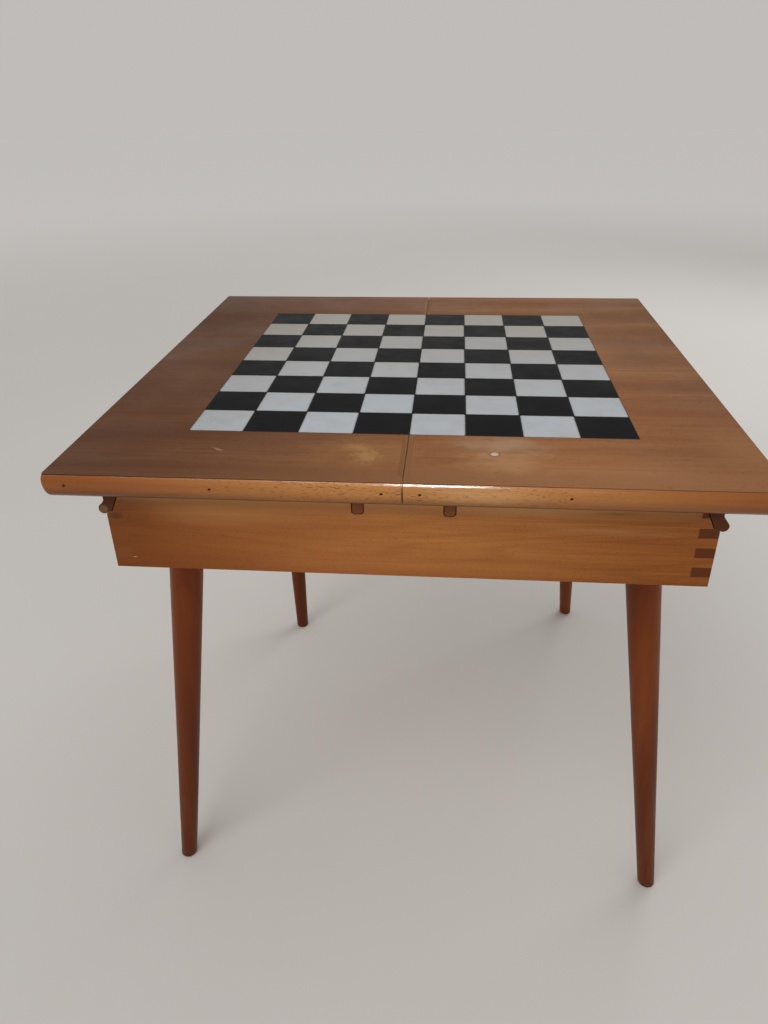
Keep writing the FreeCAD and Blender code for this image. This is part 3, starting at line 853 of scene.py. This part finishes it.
VENEER_MARKS_AND_PAINTED_LIGHT = (
    VENEER_FADE_AND_PAINTED_LIGHT,
    # Painted sheen: paler, greyer patches on the left of the top, in the middle and at the back.
    TOP.mark((-0.25, -0.03), (0.07, 0.15), tone(122, 86, 62), 0.3),
    TOP.mark((-0.16, 0.26), (0.22, 0.09), tone(136, 96, 74), 0.35),
    DEPTH_PAINTED_SHEEN,
    TOP.mark((-0.034, -0.236), (0.072, 0.038), tone(152, 108, 64), 0.4, 1.0, 1.6),
    TOP.mark((-0.0443, -0.2285), (0.016, 0.011), tone(172, 130, 80), 0.4, 0.9, 1.8),
    TOP.mark((-0.0331, -0.2455), (0.017, 0.020), tone(178, 138, 86), 0.42, 1.0, 2.0),
    TOP.mark((0.083, -0.250), (0.050, 0.030), tone(172, 132, 94), 0.55, 1.0, 1.4),
    TOP.mark((0.14, -0.250), (0.11, 0.045), tone(172, 126, 82), 0.22, 1.0, 0.8),
    TOP.mark((0.14, -0.284), (0.45, 0.040), tone(180, 138, 98), 0.2),
    TOP.mark((0.082, -0.218), (0.062, 0.028), tone(178, 160, 134), 0.36, 1.0, 1.0),
    TOP.mark((0.285, -0.215), (0.05, 0.07), tone(176, 128, 88), 0.25),
    TOP.mark((0.240, 0.045), (0.05, 0.090), tone(104, 68, 46), 0.4),
    TOP.mark((-0.28, -0.26), (0.10, 0.08), tone(78, 50, 34), 0.35),
    TOP.mark((0.0736, -0.2370), (0.0060, 0.0058), tone(92, 54, 32), 0.6, 0.4, 0.2),
    TOP.mark((0.0736, -0.2370), (0.0042, 0.0042), tone(196, 176, 156), 0.9, 0.4, 0.2),
    TOP.mark((-0.1622, -0.2390), (0.0085, 0.0022), tone(170, 130, 100), 0.6, 0.9, 0.9, -30.0))

BOX_BOARD = Wood("beech_box_board", Axis.LEFT_RIGHT, tone(187, 124, 66), tone(154, 92, 45),
                 VARNISH_FLECK, tone(84, 42, 20), figure=0.4, specular=0.16, marks=WALL_MARKS_AND_PAINTED_LIGHT)
BOX_END_LEFT = Wood("beech_box_left_end", Axis.FRONT_BACK, tone(160, 104, 56),
                    tone(134, 80, 39), VARNISH_FLECK, tone(124, 70, 29), figure=0.4,
                    streaks=0.45, rings=0.06, shift=3.1, specular=0.16, marks=CORNER_PAINTED_LIGHT_AND_SHADE)
BOX_END_RIGHT = replace(BOX_END_LEFT, name="beech_box_right_end", end=tone(93, 47, 15),
                        rings=0.12, shift=5.9, marks=())
EDGING_LONG = Wood("beech_edging_long", Axis.LEFT_RIGHT, tone(199, 139, 76),
                   tone(172, 111, 54), tone(92, 54, 26), tone(128, 78, 38), figure=0.2,
                   streaks=0.4, flecks=0.85, fleck_level=0.63, fleck_size=(240.0, 1500.0),
                   fleck_spread=(0.06, 0.20, 0.2), roughness=0.36, coat=0.6,
                   coat_roughness=0.11, ripple=0.9, shift=1.3, specular=0.1,
                   marks=EDGING_MARKS_AND_PAINTED_LIGHT)
EDGING_END = Wood("beech_edging_end", Axis.FRONT_BACK, tone(176, 116, 60), tone(148, 90, 42),
                  tone(74, 40, 18), tone(124, 76, 36), figure=0.2, streaks=0.4, flecks=0.7,
                  fleck_level=0.645, roughness=0.36, coat=0.9, coat_roughness=0.11, shift=5.2,
                  specular=0.1, marks=(EDGING_UNDER_PAINTED_SHADE,))
LIPPING_LEFT = Wood("beech_lipping_left", Axis.FRONT_BACK, tone(136, 92, 57),
                    tone(122, 80, 47), VARNISH_FLECK, tone(116, 74, 42), figure=0.2,
                    flecks=0.4, shift=2.4, specular=0.09,
                    marks=(DEPTH_PAINTED_SHEEN, PaintedArris(False, PAINT_LIGHT, PAINT_DARK)))
LIPPING_RIGHT = replace(LIPPING_LEFT, name="beech_lipping_right", pale=tone(134, 92, 58),
                        deep=tone(120, 80, 49), shift=6.7,
                        marks=(DEPTH_PAINTED_SHEEN, PaintedArris(True, PAINT_LIGHT, PAINT_DARK)))
LEG_WOOD = Wood("beech_turned_leg", Axis.UPRIGHT, tone(135, 66, 24), tone(106, 47, 15),
                tone(60, 28, 12), tone(78, 40, 18), streaks=0.45, flecks=0.5,
                fleck_level=0.66, roughness=0.36, specular=0.16, marks=LEG_MARKS_AND_PAINTED_LIGHT)
HINGE_WOOD = Wood("beech_hinge_moulding", Axis.FRONT_BACK, tone(116, 66, 32), tone(90, 48, 22),
                  tone(52, 27, 13), tone(88, 48, 23), figure=0.3, shift=7.7, specular=0.14,
                  marks=HINGE_PAINTED_LIGHT)
PLAIN_BEECH = Wood("beech_plain", Axis.FRONT_BACK, tone(172, 124, 78), tone(146, 98, 58),
                   tone(96, 60, 34), tone(121, 68, 29), roughness=0.55, rings=0.1,
                   shift=4.4)
BLOCK_BEECH = Wood("beech_leg_block", Axis.FRONT_BACK, tone(176, 134, 92), tone(152, 108, 68),
                   tone(100, 66, 40), tone(132, 90, 56), roughness=0.65, shift=6.1)
LEAF_CORE = Wood("beech_core_under", Axis.LEFT_RIGHT, tone(174, 124, 78), tone(150, 98, 56),
                 tone(104, 66, 38), tone(124, 84, 52), figure=0.45, roughness=0.5, shift=8.3)
PLYWOOD = Wood("plywood_bottom", Axis.LEFT_RIGHT, tone(190, 150, 106), tone(164, 118, 76),
               tone(120, 82, 52), tone(144, 104, 68), figure=0.6, flecks=0.35, roughness=0.6,
               shift=9.6)
TOP_VENEER = Wood("top_veneer", Axis.LEFT_RIGHT, tone(151, 101, 60), tone(124, 77, 42),
                  tone(78, 46, 26), tone(92, 54, 30), figure=0.25, streaks=0.6, flecks=0.5,
                  fleck_size=(160.0, 700.0), fineness=210.0, specular=0.09, depth=0.00004,
                  shift=0.8, side=tone(96, 54, 30), marks=VENEER_MARKS_AND_PAINTED_LIGHT)
# Near and far tones are painted light: the black greyer with sheen at the back, the white darker
# there.
BOARD_BLACK = BoardPaint("board_black", tone(23, 23, 26), tone(42, 43, 44), tone(30, 31, 33),
                         tone(50, 48, 46), 0.3, 0.0012, specular=0.02)
BOARD_WHITE = BoardPaint("board_white", tone(171, 177, 184), tone(156, 153, 148),
                         tone(156, 156, 154), tone(112, 106, 96), 0.6, 0.0022,
                         marks=(PAINT_FADE,))
STEEL = PlainMetal("steel_pin", (0.42, 0.41, 0.40), (0.22, 0.19, 0.17), 0.38)
OXIDE = PlainMetal("oxidised_pin", (0.035, 0.028, 0.024), (0.02, 0.014, 0.011), 0.6)
ZINC = PlainMetal("zinc_screw", (0.60, 0.59, 0.57), (0.42, 0.41, 0.38), 0.34)
FLOOR = StudioSurface("studio_floor", (0.60, 0.585, 0.57), (0.88, 0.87, 0.86))
FINISHES = (BOX_BOARD, BOX_END_LEFT, BOX_END_RIGHT, EDGING_LONG, EDGING_END, LIPPING_LEFT,
            LIPPING_RIGHT, LEG_WOOD, HINGE_WOOD, PLAIN_BEECH, BLOCK_BEECH, LEAF_CORE, PLYWOOD,
            TOP_VENEER, BOARD_BLACK, BOARD_WHITE, STEEL, OXIDE, ZINC)


# ---------------------------------------------------------------- sub-assemblies

@dataclass(frozen=True)
class FastenerHead:
    """Domed head of a wood screw, slotted, or of a pin, seated on a face of the wood."""

    centre: tuple
    axis: Axis
    facing: int
    turn: float
    radius: float = 0.0035
    dome: float = 0.0009
    rim: float = 0.0002
    slot: float = 0.00045
    slot_depth: float = 0.0006
    side_steps: int = 8
    along_steps: int = 15
    least: float = 0.2

    def rings(self) -> np.ndarray:
        """Rings of the head.

        The upper face is a function of s, across the slot, and t, along it: the point lies at
        (s, t * sqrt(1 - s^2)) times the radius, at a height of rim + dome * (1 - r^2), less the
        slot's depth where |s| is under the slot's half width, but never under the least share
        of the rim. The lower face is the same disc, flat, in the wood's surface.

        Returns:
            Array of rings by points by three coordinates.
        """
        edge = self.slot / self.radius
        side = np.sin(np.linspace(0.0, math.pi / 2, self.side_steps))[1:] * (1 - edge) + edge
        s = np.concatenate([-side[::-1], [-edge, -edge, edge, edge], side])
        inside = np.zeros(len(s))
        inside[len(side) + 1:len(side) + 3] = 1.0
        t = np.sin(np.linspace(-math.pi / 2, math.pi / 2, self.along_steps))
        across = np.broadcast_to(s[:, None], (len(s), len(t)))
        along = t[None, :] * np.sqrt(np.clip(1.0 - s[:, None] ** 2, 0.0, None))
        height = self.rim + self.dome * np.clip(1.0 - across ** 2 - along ** 2, 0.0, None)
        height = np.maximum(height - inside[:, None] * self.slot_depth, self.rim * self.least)
        upper = np.stack([across * self.radius, along * self.radius, height], axis=-1)
        lower = upper * np.array([1.0, 1.0, 0.0])
        rings = np.concatenate([upper, lower[:, ::-1]], axis=1)
        angle = math.radians(self.turn)
        spin = np.array([[math.cos(angle), math.sin(angle), 0.0],
                         [-math.sin(angle), math.cos(angle), 0.0], [0.0, 0.0, 1.0]])
        rings = rings @ spin
        order = {Axis.UPRIGHT: (0, 1, 2), Axis.LEFT_RIGHT: (2, 0, 1),
                 Axis.FRONT_BACK: (1, 2, 0)}[self.axis]
        sign = np.ones(3)
        sign[self.axis.value] = self.facing
        return rings[..., list(order)] * sign + np.array(self.centre)


def drive(name: str, heads: list, body: str, finish: Material) -> None:
    """Drive a group of screws.

    Args:
        name: Name of the piece that their heads make.
        heads: Their heads.
        body: Name of the moving body that they are in.
        finish: Their material.
    """
    screws = closed_sweep(name, *(head.rings() for head in heads), sharp=30.0)
    hand_over(screws, body, "zinc", finish)


@dataclass
class StorageBox:
    """Finger-jointed box with a plywood bottom and a block in each corner for a leg."""

    ease: float = 0.0004
    floor_level: float = 0.4665
    screw_places: tuple = (0.1805, 0.170, 0.253)
    screw_turn: tuple = (25.0, 900.0)
    walls: tuple = (("front_panel", "beech_box_board"), ("back_panel", "beech_box_board"),
                    ("left_end_panel", "beech_box_left_end"),
                    ("right_end_panel", "beech_box_right_end"))
    corners: tuple = (("front_left", -1, -1), ("front_right", 1, -1), ("rear_left", -1, 1),
                      ("rear_right", 1, 1))

    def build(self, made: dict) -> None:
        """Ease the walls' and blocks' edges, drive the blocks' screws and dress the bottom.

        Args:
            made: Finished materials by name.
        """
        for node, finish in self.walls:
            hand_over(softened(node, self.ease), "box", "beech_front", made[finish], node)
        dress("bottom_panel", made["plywood_bottom"])
        x, *ys = self.screw_places
        first, rate = self.screw_turn
        heads = []
        for corner, sign_x, sign_y in self.corners:
            node = f"{corner}_leg_block"
            hand_over(softened(node, self.ease * 2), "box", "beech_plain",
                      made["beech_leg_block"], node)
            heads += [FastenerHead((sign_x * x, sign_y * y, self.floor_level), Axis.UPRIGHT, 1,
                                   first + rate * y * sign_x) for y in ys]
        drive("leg_block_screw_heads", heads, "box", made["zinc_screw"])


@dataclass
class SplayedLeg:
    """Tapered round leg: seat and foot of its axis, and its radius at both ends."""

    name: str
    seat: tuple
    foot: tuple
    seat_radius: float = 0.0175
    foot_radius: float = 0.009
    foot_round: float = 0.003
    foot_cut: float = 0.0006
    foot_steps: int = 8
    steps: int = 40
    around: int = 64

    def surface(self) -> np.ndarray:
        """Rings of the leg.

        Ring i lies level at a height z. Its centre is on the straight line from foot to seat,
        its radius grows evenly along that line, and near the floor it follows a quarter circle
        for the rounded foot, cut off a little above its lowest point. The ring is stretched in
        the direction of the lean by one over the cosine of the lean, as a level cut through a
        leaning cone is.

        Returns:
            Array of rings by points by three coordinates.
        """
        foot, seat = np.array(self.foot), np.array(self.seat)
        run = seat - foot
        long = np.linalg.norm(run)
        low = np.linspace(0.0, self.foot_round, self.foot_steps, endpoint=False)
        height = np.concatenate([low, np.linspace(self.foot_round, seat[2], self.steps)])
        share = height / run[2]
        radius = self.foot_radius + (self.seat_radius - self.foot_radius) * share
        rest = np.clip(self.foot_round - (height + self.foot_cut), 0.0, None)
        radius = radius - (self.foot_round - np.sqrt(self.foot_round ** 2 - rest ** 2))
        centre = foot + share[:, None] * run
        angle = np.linspace(0.0, 2 * math.pi, self.around, endpoint=False)
        circle = np.stack([np.cos(angle), np.sin(angle), np.zeros_like(angle)], axis=1)
        lean = np.array([run[0], run[1], 0.0]) / np.hypot(run[0], run[1])
        stretch = long / run[2] - 1.0
        circle = circle + (circle @ lean)[:, None] * lean * stretch
        return centre[:, None, :] + radius[:, None, None] * circle[None, :, :]

    def build(self, finish: Material, metal: Material) -> None:
        """Make the leg and dress its bolt."""
        piece = closed_sweep(f"{self.name}_leg_turned", self.surface())
        hand_over(piece, "box", "beech_leg", finish, f"{self.name}_leg")
        dress(f"{self.name}_bolt", metal)


LEGS = (
    SplayedLeg("front_left", (-0.216, -0.200, 0.4405), (-0.263, -0.238, 0.0)),
    SplayedLeg("front_right", (0.216, -0.200, 0.4405), (0.275, -0.238, 0.0)),
    SplayedLeg("rear_left", (-0.204, 0.200, 0.4405), (-0.205, 0.212, 0.0)),
    SplayedLeg("rear_right", (0.204, 0.200, 0.4405), (0.243, 0.278, 0.0)),
)


@dataclass
class WoodenHinge:
    """Knuckles of one end's wooden hinge, on a steel pin."""

    hand: Hand
    ease: float = 0.0003
    inner_face: float = 0.2365
    screw_level: float = 0.5035
    screw_places: tuple = (-0.1436, -0.0812, 0.0806, 0.1430)
    screw_turn: tuple = (17.0, 900.0)

    def build(self, made: dict) -> None:
        """Ease the knuckles' edges, dress the pin and drive the fixed knuckles' screws.

        Args:
            made: Finished materials by name.
        """
        word = self.hand.word
        for body, kind, names in ((f"{word}_leaf", "leaf", ("front", "middle", "rear")),
                                  ("box", "wall", ("front", "rear"))):
            for name in names:
                node = f"{word}_{kind}_knuckle_{name}"
                hand_over(softened(node, self.ease), body, "beech_hinge",
                          made["beech_hinge_moulding"], node)
        dress(f"{word}_hinge_pin", made["steel_pin"])
        first, rate = self.screw_turn
        heads = [FastenerHead((self.inner_face * self.hand.value, y, self.screw_level),
                              Axis.LEFT_RIGHT, -self.hand.value, first + rate * y)
                 for y in self.screw_places]
        drive(f"{word}_knuckle_screw_heads", heads, "box", made["zinc_screw"])


@dataclass
class Moulding:
    """Section of the leaves' rounded edging and the runs that it is carried along."""

    arris: float = 0.294
    bulge: float = 0.002
    tuck: float = 0.0053
    under: float = 0.513
    widest: float = 0.5275
    skin: float = 0.5342
    inner: float = 0.282
    corner: float = 0.002
    seam: float = 0.0002
    pin_level: float = 0.5255
    pin_radius: float = 0.0012
    pin_depth: float = 0.0012
    left_pins: tuple = (0.0165, 0.1546, 0.2755)
    right_pins: tuple = (0.0137, 0.131, 0.278)
    end_pins: tuple = (0.087, 0.260)
    head_share: tuple = (0.92, 0.3)
    hole_reach: float = 1.5
    hole_steps: int = 15
    rim: tuple = (1.15, 0.35)
    face_depth: float = 0.004
    powers: tuple = (2.2, 0.62)
    drop_steps: int = 22
    rise_steps: int = 12
    turn_steps: int = 9
    straight_steps: tuple = (12, 8)

    def long_pins(self, hand: Hand) -> tuple:
        """Distances of the pins from the seam on one leaf's front and back strips."""
        return self.right_pins if hand is Hand.RIGHT else self.left_pins

    def pin_heads(self, hand: Hand) -> list:
        """Rings of the pins' heads, each near the bottom of its hole."""
        base = self.arris + self.bulge - self.pin_depth
        wide, high = self.head_share
        size = {"radius": self.pin_radius * wide, "slot": 0.0, "slot_depth": 0.0,
                "dome": self.pin_depth * high}
        heads = [FastenerHead((x * hand.value, base * side, self.pin_level), Axis.FRONT_BACK,
                              side, 0.0, **size) for x in self.long_pins(hand)
                 for side in (-1, 1)]
        heads += [FastenerHead((base * hand.value, y * side, self.pin_level), Axis.LEFT_RIGHT,
                               hand.value, 0.0, **size) for y in self.end_pins
                  for side in (-1, 1)]
        return [head.rings() for head in heads]

    def stations(self, start: float, pins: tuple) -> np.ndarray:
        """Stations along the straight part of a run, fine round each pin's hole.

        Args:
            start: Where the run starts.
            pins: Lengths at which the pins are.

        Returns:
            Lengths along the run, in order.
        """
        many, few = self.straight_steps
        straight = np.linspace(start, self.inner, many)
        corner = np.linspace(self.inner, self.arris - self.corner, few)[1:]
        fine = np.linspace(-self.hole_reach, self.hole_reach, self.hole_steps)[None, :]
        extra = (np.array(pins)[:, None] + fine * self.pin_radius).ravel()
        return np.unique(np.round(np.concatenate([straight, corner, extra]), 7))

    def sunk(self, length: np.ndarray, distance: np.ndarray, height: np.ndarray,
             pins: tuple) -> np.ndarray:
        """Press the holes of sunk pins into the face of a strip.

        Each hole takes pin_depth off the distance at its middle and none past its rim, by a
        smooth step of the share of the radius: the rim's outer share and its width.

        Args:
            length: Length along the run.
            distance: Distance out from the middle of the top.
            height: Height above the floor.
            pins: Lengths at which the pins are.

        Returns:
            The distances with the holes in them.
        """
        face = distance > self.inner + self.face_depth
        away = np.abs(np.abs(length)[..., None] - np.array(pins)).min(axis=-1)
        share = np.hypot(away, height - self.pin_level) / self.pin_radius
        outer, width = self.rim
        step = np.clip((outer - share) / width, 0.0, 1.0)
        return distance - self.pin_depth * step * step * (3 - 2 * step) * face

    def section(self) -> np.ndarray:
        """Closed section as (distance out from the middle of the top, height).

        Under the widest line it is a squared-off quarter: with u the share of the drop, the
        swelling is (1 - u to the first power) to the second power, in the order of powers.
        Above it is a circular arc that runs up to the veneer, through the widest line and the
        upper arris.

        Returns:
            Array of points by two.
        """
        out = self.arris + self.bulge
        deep = self.widest - self.under
        pin = (self.widest - self.pin_level) / deep
        reach = self.hole_reach * self.pin_radius / deep
        drop = np.sin(np.linspace(math.pi / 2, 0.0, self.drop_steps))
        drop = np.concatenate([drop, np.linspace(pin - reach, pin + reach, self.hole_steps)])
        drop = np.unique(np.round(drop, 5))[::-1]
        first, second = self.powers
        swell = np.clip(1.0 - drop ** first, 0.0, 1.0) ** second
        lower = np.stack([out - (self.bulge + self.tuck) * (1.0 - swell),
                          self.widest - drop * deep], axis=1)
        rise = self.skin - self.widest
        radius = (self.bulge ** 2 + rise ** 2) / (2 * self.bulge)
        last = math.degrees(math.asin(rise / radius))
        upper = arc(radius, (out - radius, self.widest), 0.0, last, self.rise_steps)[1:]
        back = np.array([[self.inner, self.skin], [self.inner, self.under]])
        return np.concatenate([lower, upper, back])

    def half_run(self, along: np.ndarray) -> tuple:
        """Carry the section straight and then half way round the corner.

        A point that lies r outside the corner's centre line goes round it by an angle of up to
        45 degrees; a point inside that line stops at the mitre.

        Args:
            along: Stations on the straight part.

        Returns:
            Arrays of stations by points: length along the run, distance out and height.
        """
        section = self.section()
        centre = self.arris - self.corner
        reach = section[:, 0] - centre
        outside, inside = np.clip(reach, 0.0, None), np.clip(reach, None, 0.0)
        straight = np.minimum(along[:, None], centre + inside[None, :])
        level = np.broadcast_to(section[:, 0], straight.shape)
        angle = np.radians(np.linspace(0.0, 45.0, self.turn_steps))[1:, None]
        turned = centre + inside + outside * np.sin(angle)
        outward = centre + inside + outside * np.cos(angle)
        length = np.concatenate([straight, turned])
        distance = np.concatenate([level, outward])
        height = np.broadcast_to(section[:, 1], length.shape)
        return length, distance, height

    def long_strip(self, hand: Hand, front: bool) -> np.ndarray:
        """Rings of the front or back strip of one leaf, from the seam to the mitre."""
        pins = self.long_pins(hand)
        length, distance, height = self.half_run(self.stations(self.seam, pins))
        distance = self.sunk(length, distance, height, pins)
        sign = -1.0 if front else 1.0
        return np.stack([length * hand.value, distance * sign, height], axis=-1)

    def end_strip(self, hand: Hand) -> np.ndarray:
        """Rings of the strip along one end of the top, from mitre to mitre."""
        length, distance, height = self.half_run(self.stations(0.0, self.end_pins))
        distance = self.sunk(length, distance, height, self.end_pins)
        rear = np.stack([distance * hand.value, length, height], axis=-1)
        front = rear[:0:-1] * np.array([1.0, -1.0, 1.0])
        return np.concatenate([front, rear])


@dataclass
class Leaf:
    """One leaf of the top: core, edging, veneer, half of the board and its rest bar."""

    hand: Hand
    moulding: Moulding = field(default_factory=Moulding)
    ease: float = 0.0003
    seam_face: float = 0.0005
    bar_middle: float = 0.0378
    bar_under: float = 0.4985
    bar_screws: tuple = (-0.225, -0.075, 0.075, 0.225)
    screw_turn: tuple = (40.0, 700.0)
    screw_radius: float = 0.003

    def build(self, made: dict) -> None:
        """Make the edging and dress the rest.

        Args:
            made: Finished materials by name.
        """
        word = self.hand.word
        body = f"{word}_leaf"
        for end in ("front", "back"):
            strip = closed_sweep(f"{word}_{end}_edging_moulded",
                                 self.moulding.long_strip(self.hand, end == "front"))
            hand_over(strip, body, "beech_edging", made["beech_edging_long"],
                      f"{word}_{end}_edging")
        strip = closed_sweep(f"{word}_end_edging_moulded", self.moulding.end_strip(self.hand))
        hand_over(strip, body, "beech_edging", made["beech_edging_end"], f"{word}_end_edging")
        pins = closed_sweep(f"{word}_edging_pin_heads", *self.moulding.pin_heads(self.hand))
        hand_over(pins, body, "steel", made["oxidised_pin"])
        hand_over(self.lipping(), body, "beech_edging", made[f"beech_lipping_{word}"],
                  f"{word}_seam_lipping")
        bar = f"{word}_rest_bar"
        hand_over(softened(bar, self.ease), body, "beech_plain", made["beech_plain"], bar)
        for node, finish in (("leaf_core", "beech_core_under"), ("top_veneer", "top_veneer"),
                             ("board_dark_field", "board_black"),
                             ("board_light_squares", "board_white")):
            dress(f"{word}_{node}", made[finish])
        first, rate = self.screw_turn
        heads = [FastenerHead((self.bar_middle * self.hand.value, y, self.bar_under),
                              Axis.UPRIGHT, -1, first + rate * y * self.hand.value,
                              radius=self.screw_radius) for y in self.bar_screws]
        drive(f"{word}_bar_screw_heads", heads, body, made["zinc_screw"])

    def lipping(self) -> Piece:
        """Make the lipping along the seam.

        It is the solid's copy with its near face drawn up to the seam, at the same distance
        from the middle as the ends of the edging.

        Returns:
            The new object, at the origin.
        """
        piece = softened(f"{self.hand.word}_seam_lipping", self.ease)
        points = np.empty(len(piece.data.vertices) * 3)
        piece.data.vertices.foreach_get("co", points)
        x = points[::3]
        near_face = np.abs(x) < self.seam_face + MERGE
        x[near_face] = self.moulding.seam * self.hand.value
        piece.data.vertices.foreach_set("co", points)
        return piece


# ---------------------------------------------------------------- light and camera

@dataclass(frozen=True)
class Softbox:
    """Rectangular lamp: its place, what it faces, its size, and how and whom it lights."""

    name: str
    place: tuple
    aim: tuple
    size: tuple
    level: float
    colour: Rgb = (1.0, 0.975, 0.94)
    mirrored: bool = True
    spreads: bool = True

    def hang(self) -> None:
        """Hang the lamp.

        Its power is level * pi^2 * distance^2, so that a matt surface facing it at its aim
        gains that share of its own colour. Glossy surfaces show it only where it is mirrored,
        and it lights matt ones only where it spreads.
        """
        lamp = bpy.data.lights.new(self.name, "AREA")
        lamp.shape = "RECTANGLE"
        lamp.size, lamp.size_y = self.size
        lamp.color = self.colour
        run = Vector(self.aim) - Vector(self.place)
        lamp.energy = self.level * math.pi ** 2 * run.length_squared
        holder = placed(self.name, lamp)
        holder.location = self.place
        holder.rotation_euler = run.to_track_quat("-Z", "Y").to_euler()
        holder.visible_glossy = self.mirrored
        holder.visible_diffuse = self.spreads


@dataclass
class Studio:
    """Pale floor, soft light and the camera."""

    floor_half: float = 14.0
    floor_cells: int = 8
    surround: float = 0.60
    room_tone: Rgb = (1.0, 0.98, 0.95)
    horizon_tone: Rgb = (0.521, 0.503, 0.485)
    zenith_tone: Rgb = (0.42, 0.415, 0.405)
    zenith: float = 0.8
    camera_place: tuple = (0.0362, -0.8300, 0.8099)
    camera_turn: tuple = (60.7716, 0.8761, 4.9246)
    lens: float = 27.19
    film: float = 36.0
    clip: tuple = (0.01, 60.0)
    lamps: tuple = (
        Softbox("key_softbox", (-0.9, -1.7, 2.5), (0.0, 0.0, 0.5), (1.6, 1.6), 0.38),
        Softbox("fill_softbox", (1.5, 1.9, 1.9), (0.0, 0.0, 0.4), (1.8, 1.8), 0.28,
                mirrored=False),
        Softbox("window_softbox", (0.01, -1.34, 1.12), (0.01, -0.29, 0.53), (0.19, 0.24), 0.52,
                (0.90, 0.98, 1.06), spreads=False))

    def lay_floor(self) -> None:
        """Lay the floor as a grid of points in the plane z = 0."""
        across = self.floor_cells + 1
        span = np.linspace(-self.floor_half, self.floor_half, across)
        x, y = np.meshgrid(span, span, indexing="ij")
        points = np.stack([x, y, np.zeros_like(x)], axis=-1).reshape(-1, 3)
        row, column = np.meshgrid(np.arange(self.floor_cells), np.arange(self.floor_cells),
                                  indexing="ij")
        first = row * across + column
        quads = np.stack([first, first + across, first + across + 1, first + 1], axis=-1)
        mesh = bpy.data.meshes.new("studio_floor")
        mesh.from_pydata(points.tolist(), [], quads.reshape(-1, 4).tolist())
        mesh.materials.append(FLOOR.build())
        placed("studio_floor", mesh)

    def fill_world(self) -> None:
        """Light the room evenly; the camera and glossy surfaces see a shaded backdrop.

        The backdrop goes from the floor's tone at the horizon to the zenith's, eased by the
        height of the line of sight.
        """
        world = bpy.data.worlds.new("studio_room")
        bpy.context.scene.world = world
        world.use_nodes = True
        nodes = NodeTree(world.node_tree)
        rays = nodes.add("ShaderNodeLightPath", {}).outputs
        seen = nodes.sum("MAXIMUM", rays["Is Camera Ray"], rays["Is Glossy Ray"])
        seen = nodes.sum("MAXIMUM", seen, rays["Is Transmission Ray"])
        room = nodes.add("ShaderNodeBackground", {0: (*self.room_tone, 1.0), 1: self.surround})
        sight = nodes.add("ShaderNodeTexCoord", {}).outputs["Generated"]
        rise = nodes.ease(nodes.split(sight)[2], 0.0, self.zenith)
        shade = nodes.mix(rise, self.horizon_tone, self.zenith_tone)
        backdrop = nodes.add("ShaderNodeBackground", {0: shade})
        mixed = nodes.add("ShaderNodeMixShader", {0: seen, 1: room.outputs[0],
                                                  2: backdrop.outputs[0]})
        nodes.add("ShaderNodeOutputWorld", {0: mixed.outputs[0]})

    def set_camera(self) -> None:
        """Set the camera where the photo was taken from, in front of the table, looking down."""
        camera = bpy.data.cameras.new("camera")
        camera.lens = self.lens
        camera.sensor_width = self.film
        camera.sensor_fit = "AUTO"
        camera.clip_start, camera.clip_end = self.clip
        holder = placed("camera", camera)
        holder.location = self.camera_place
        holder.rotation_euler = tuple(math.radians(angle) for angle in self.camera_turn)
        bpy.context.scene.camera = holder

    def build(self) -> None:
        """Set up floor, world, lamps, camera and the plain view."""
        self.lay_floor()
        self.fill_world()
        for lamp in self.lamps:
            lamp.hang()
        self.set_camera()
        bpy.context.scene.view_settings.view_transform = "Standard"


def main() -> None:
    """Build the table from the floor up and report each piece."""
    logging.basicConfig(level=logging.INFO, format="%(message)s")
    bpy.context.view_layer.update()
    made = {finish.name: finish.build() for finish in FINISHES}
    StorageBox().build(made)
    for leg in LEGS:
        leg.build(made["beech_turned_leg"], made["zinc_screw"])
    for hand in Hand:
        WoodenHinge(hand).build(made)
        Leaf(hand).build(made)
    Studio().build()


if __name__ == "__main__":
    main()
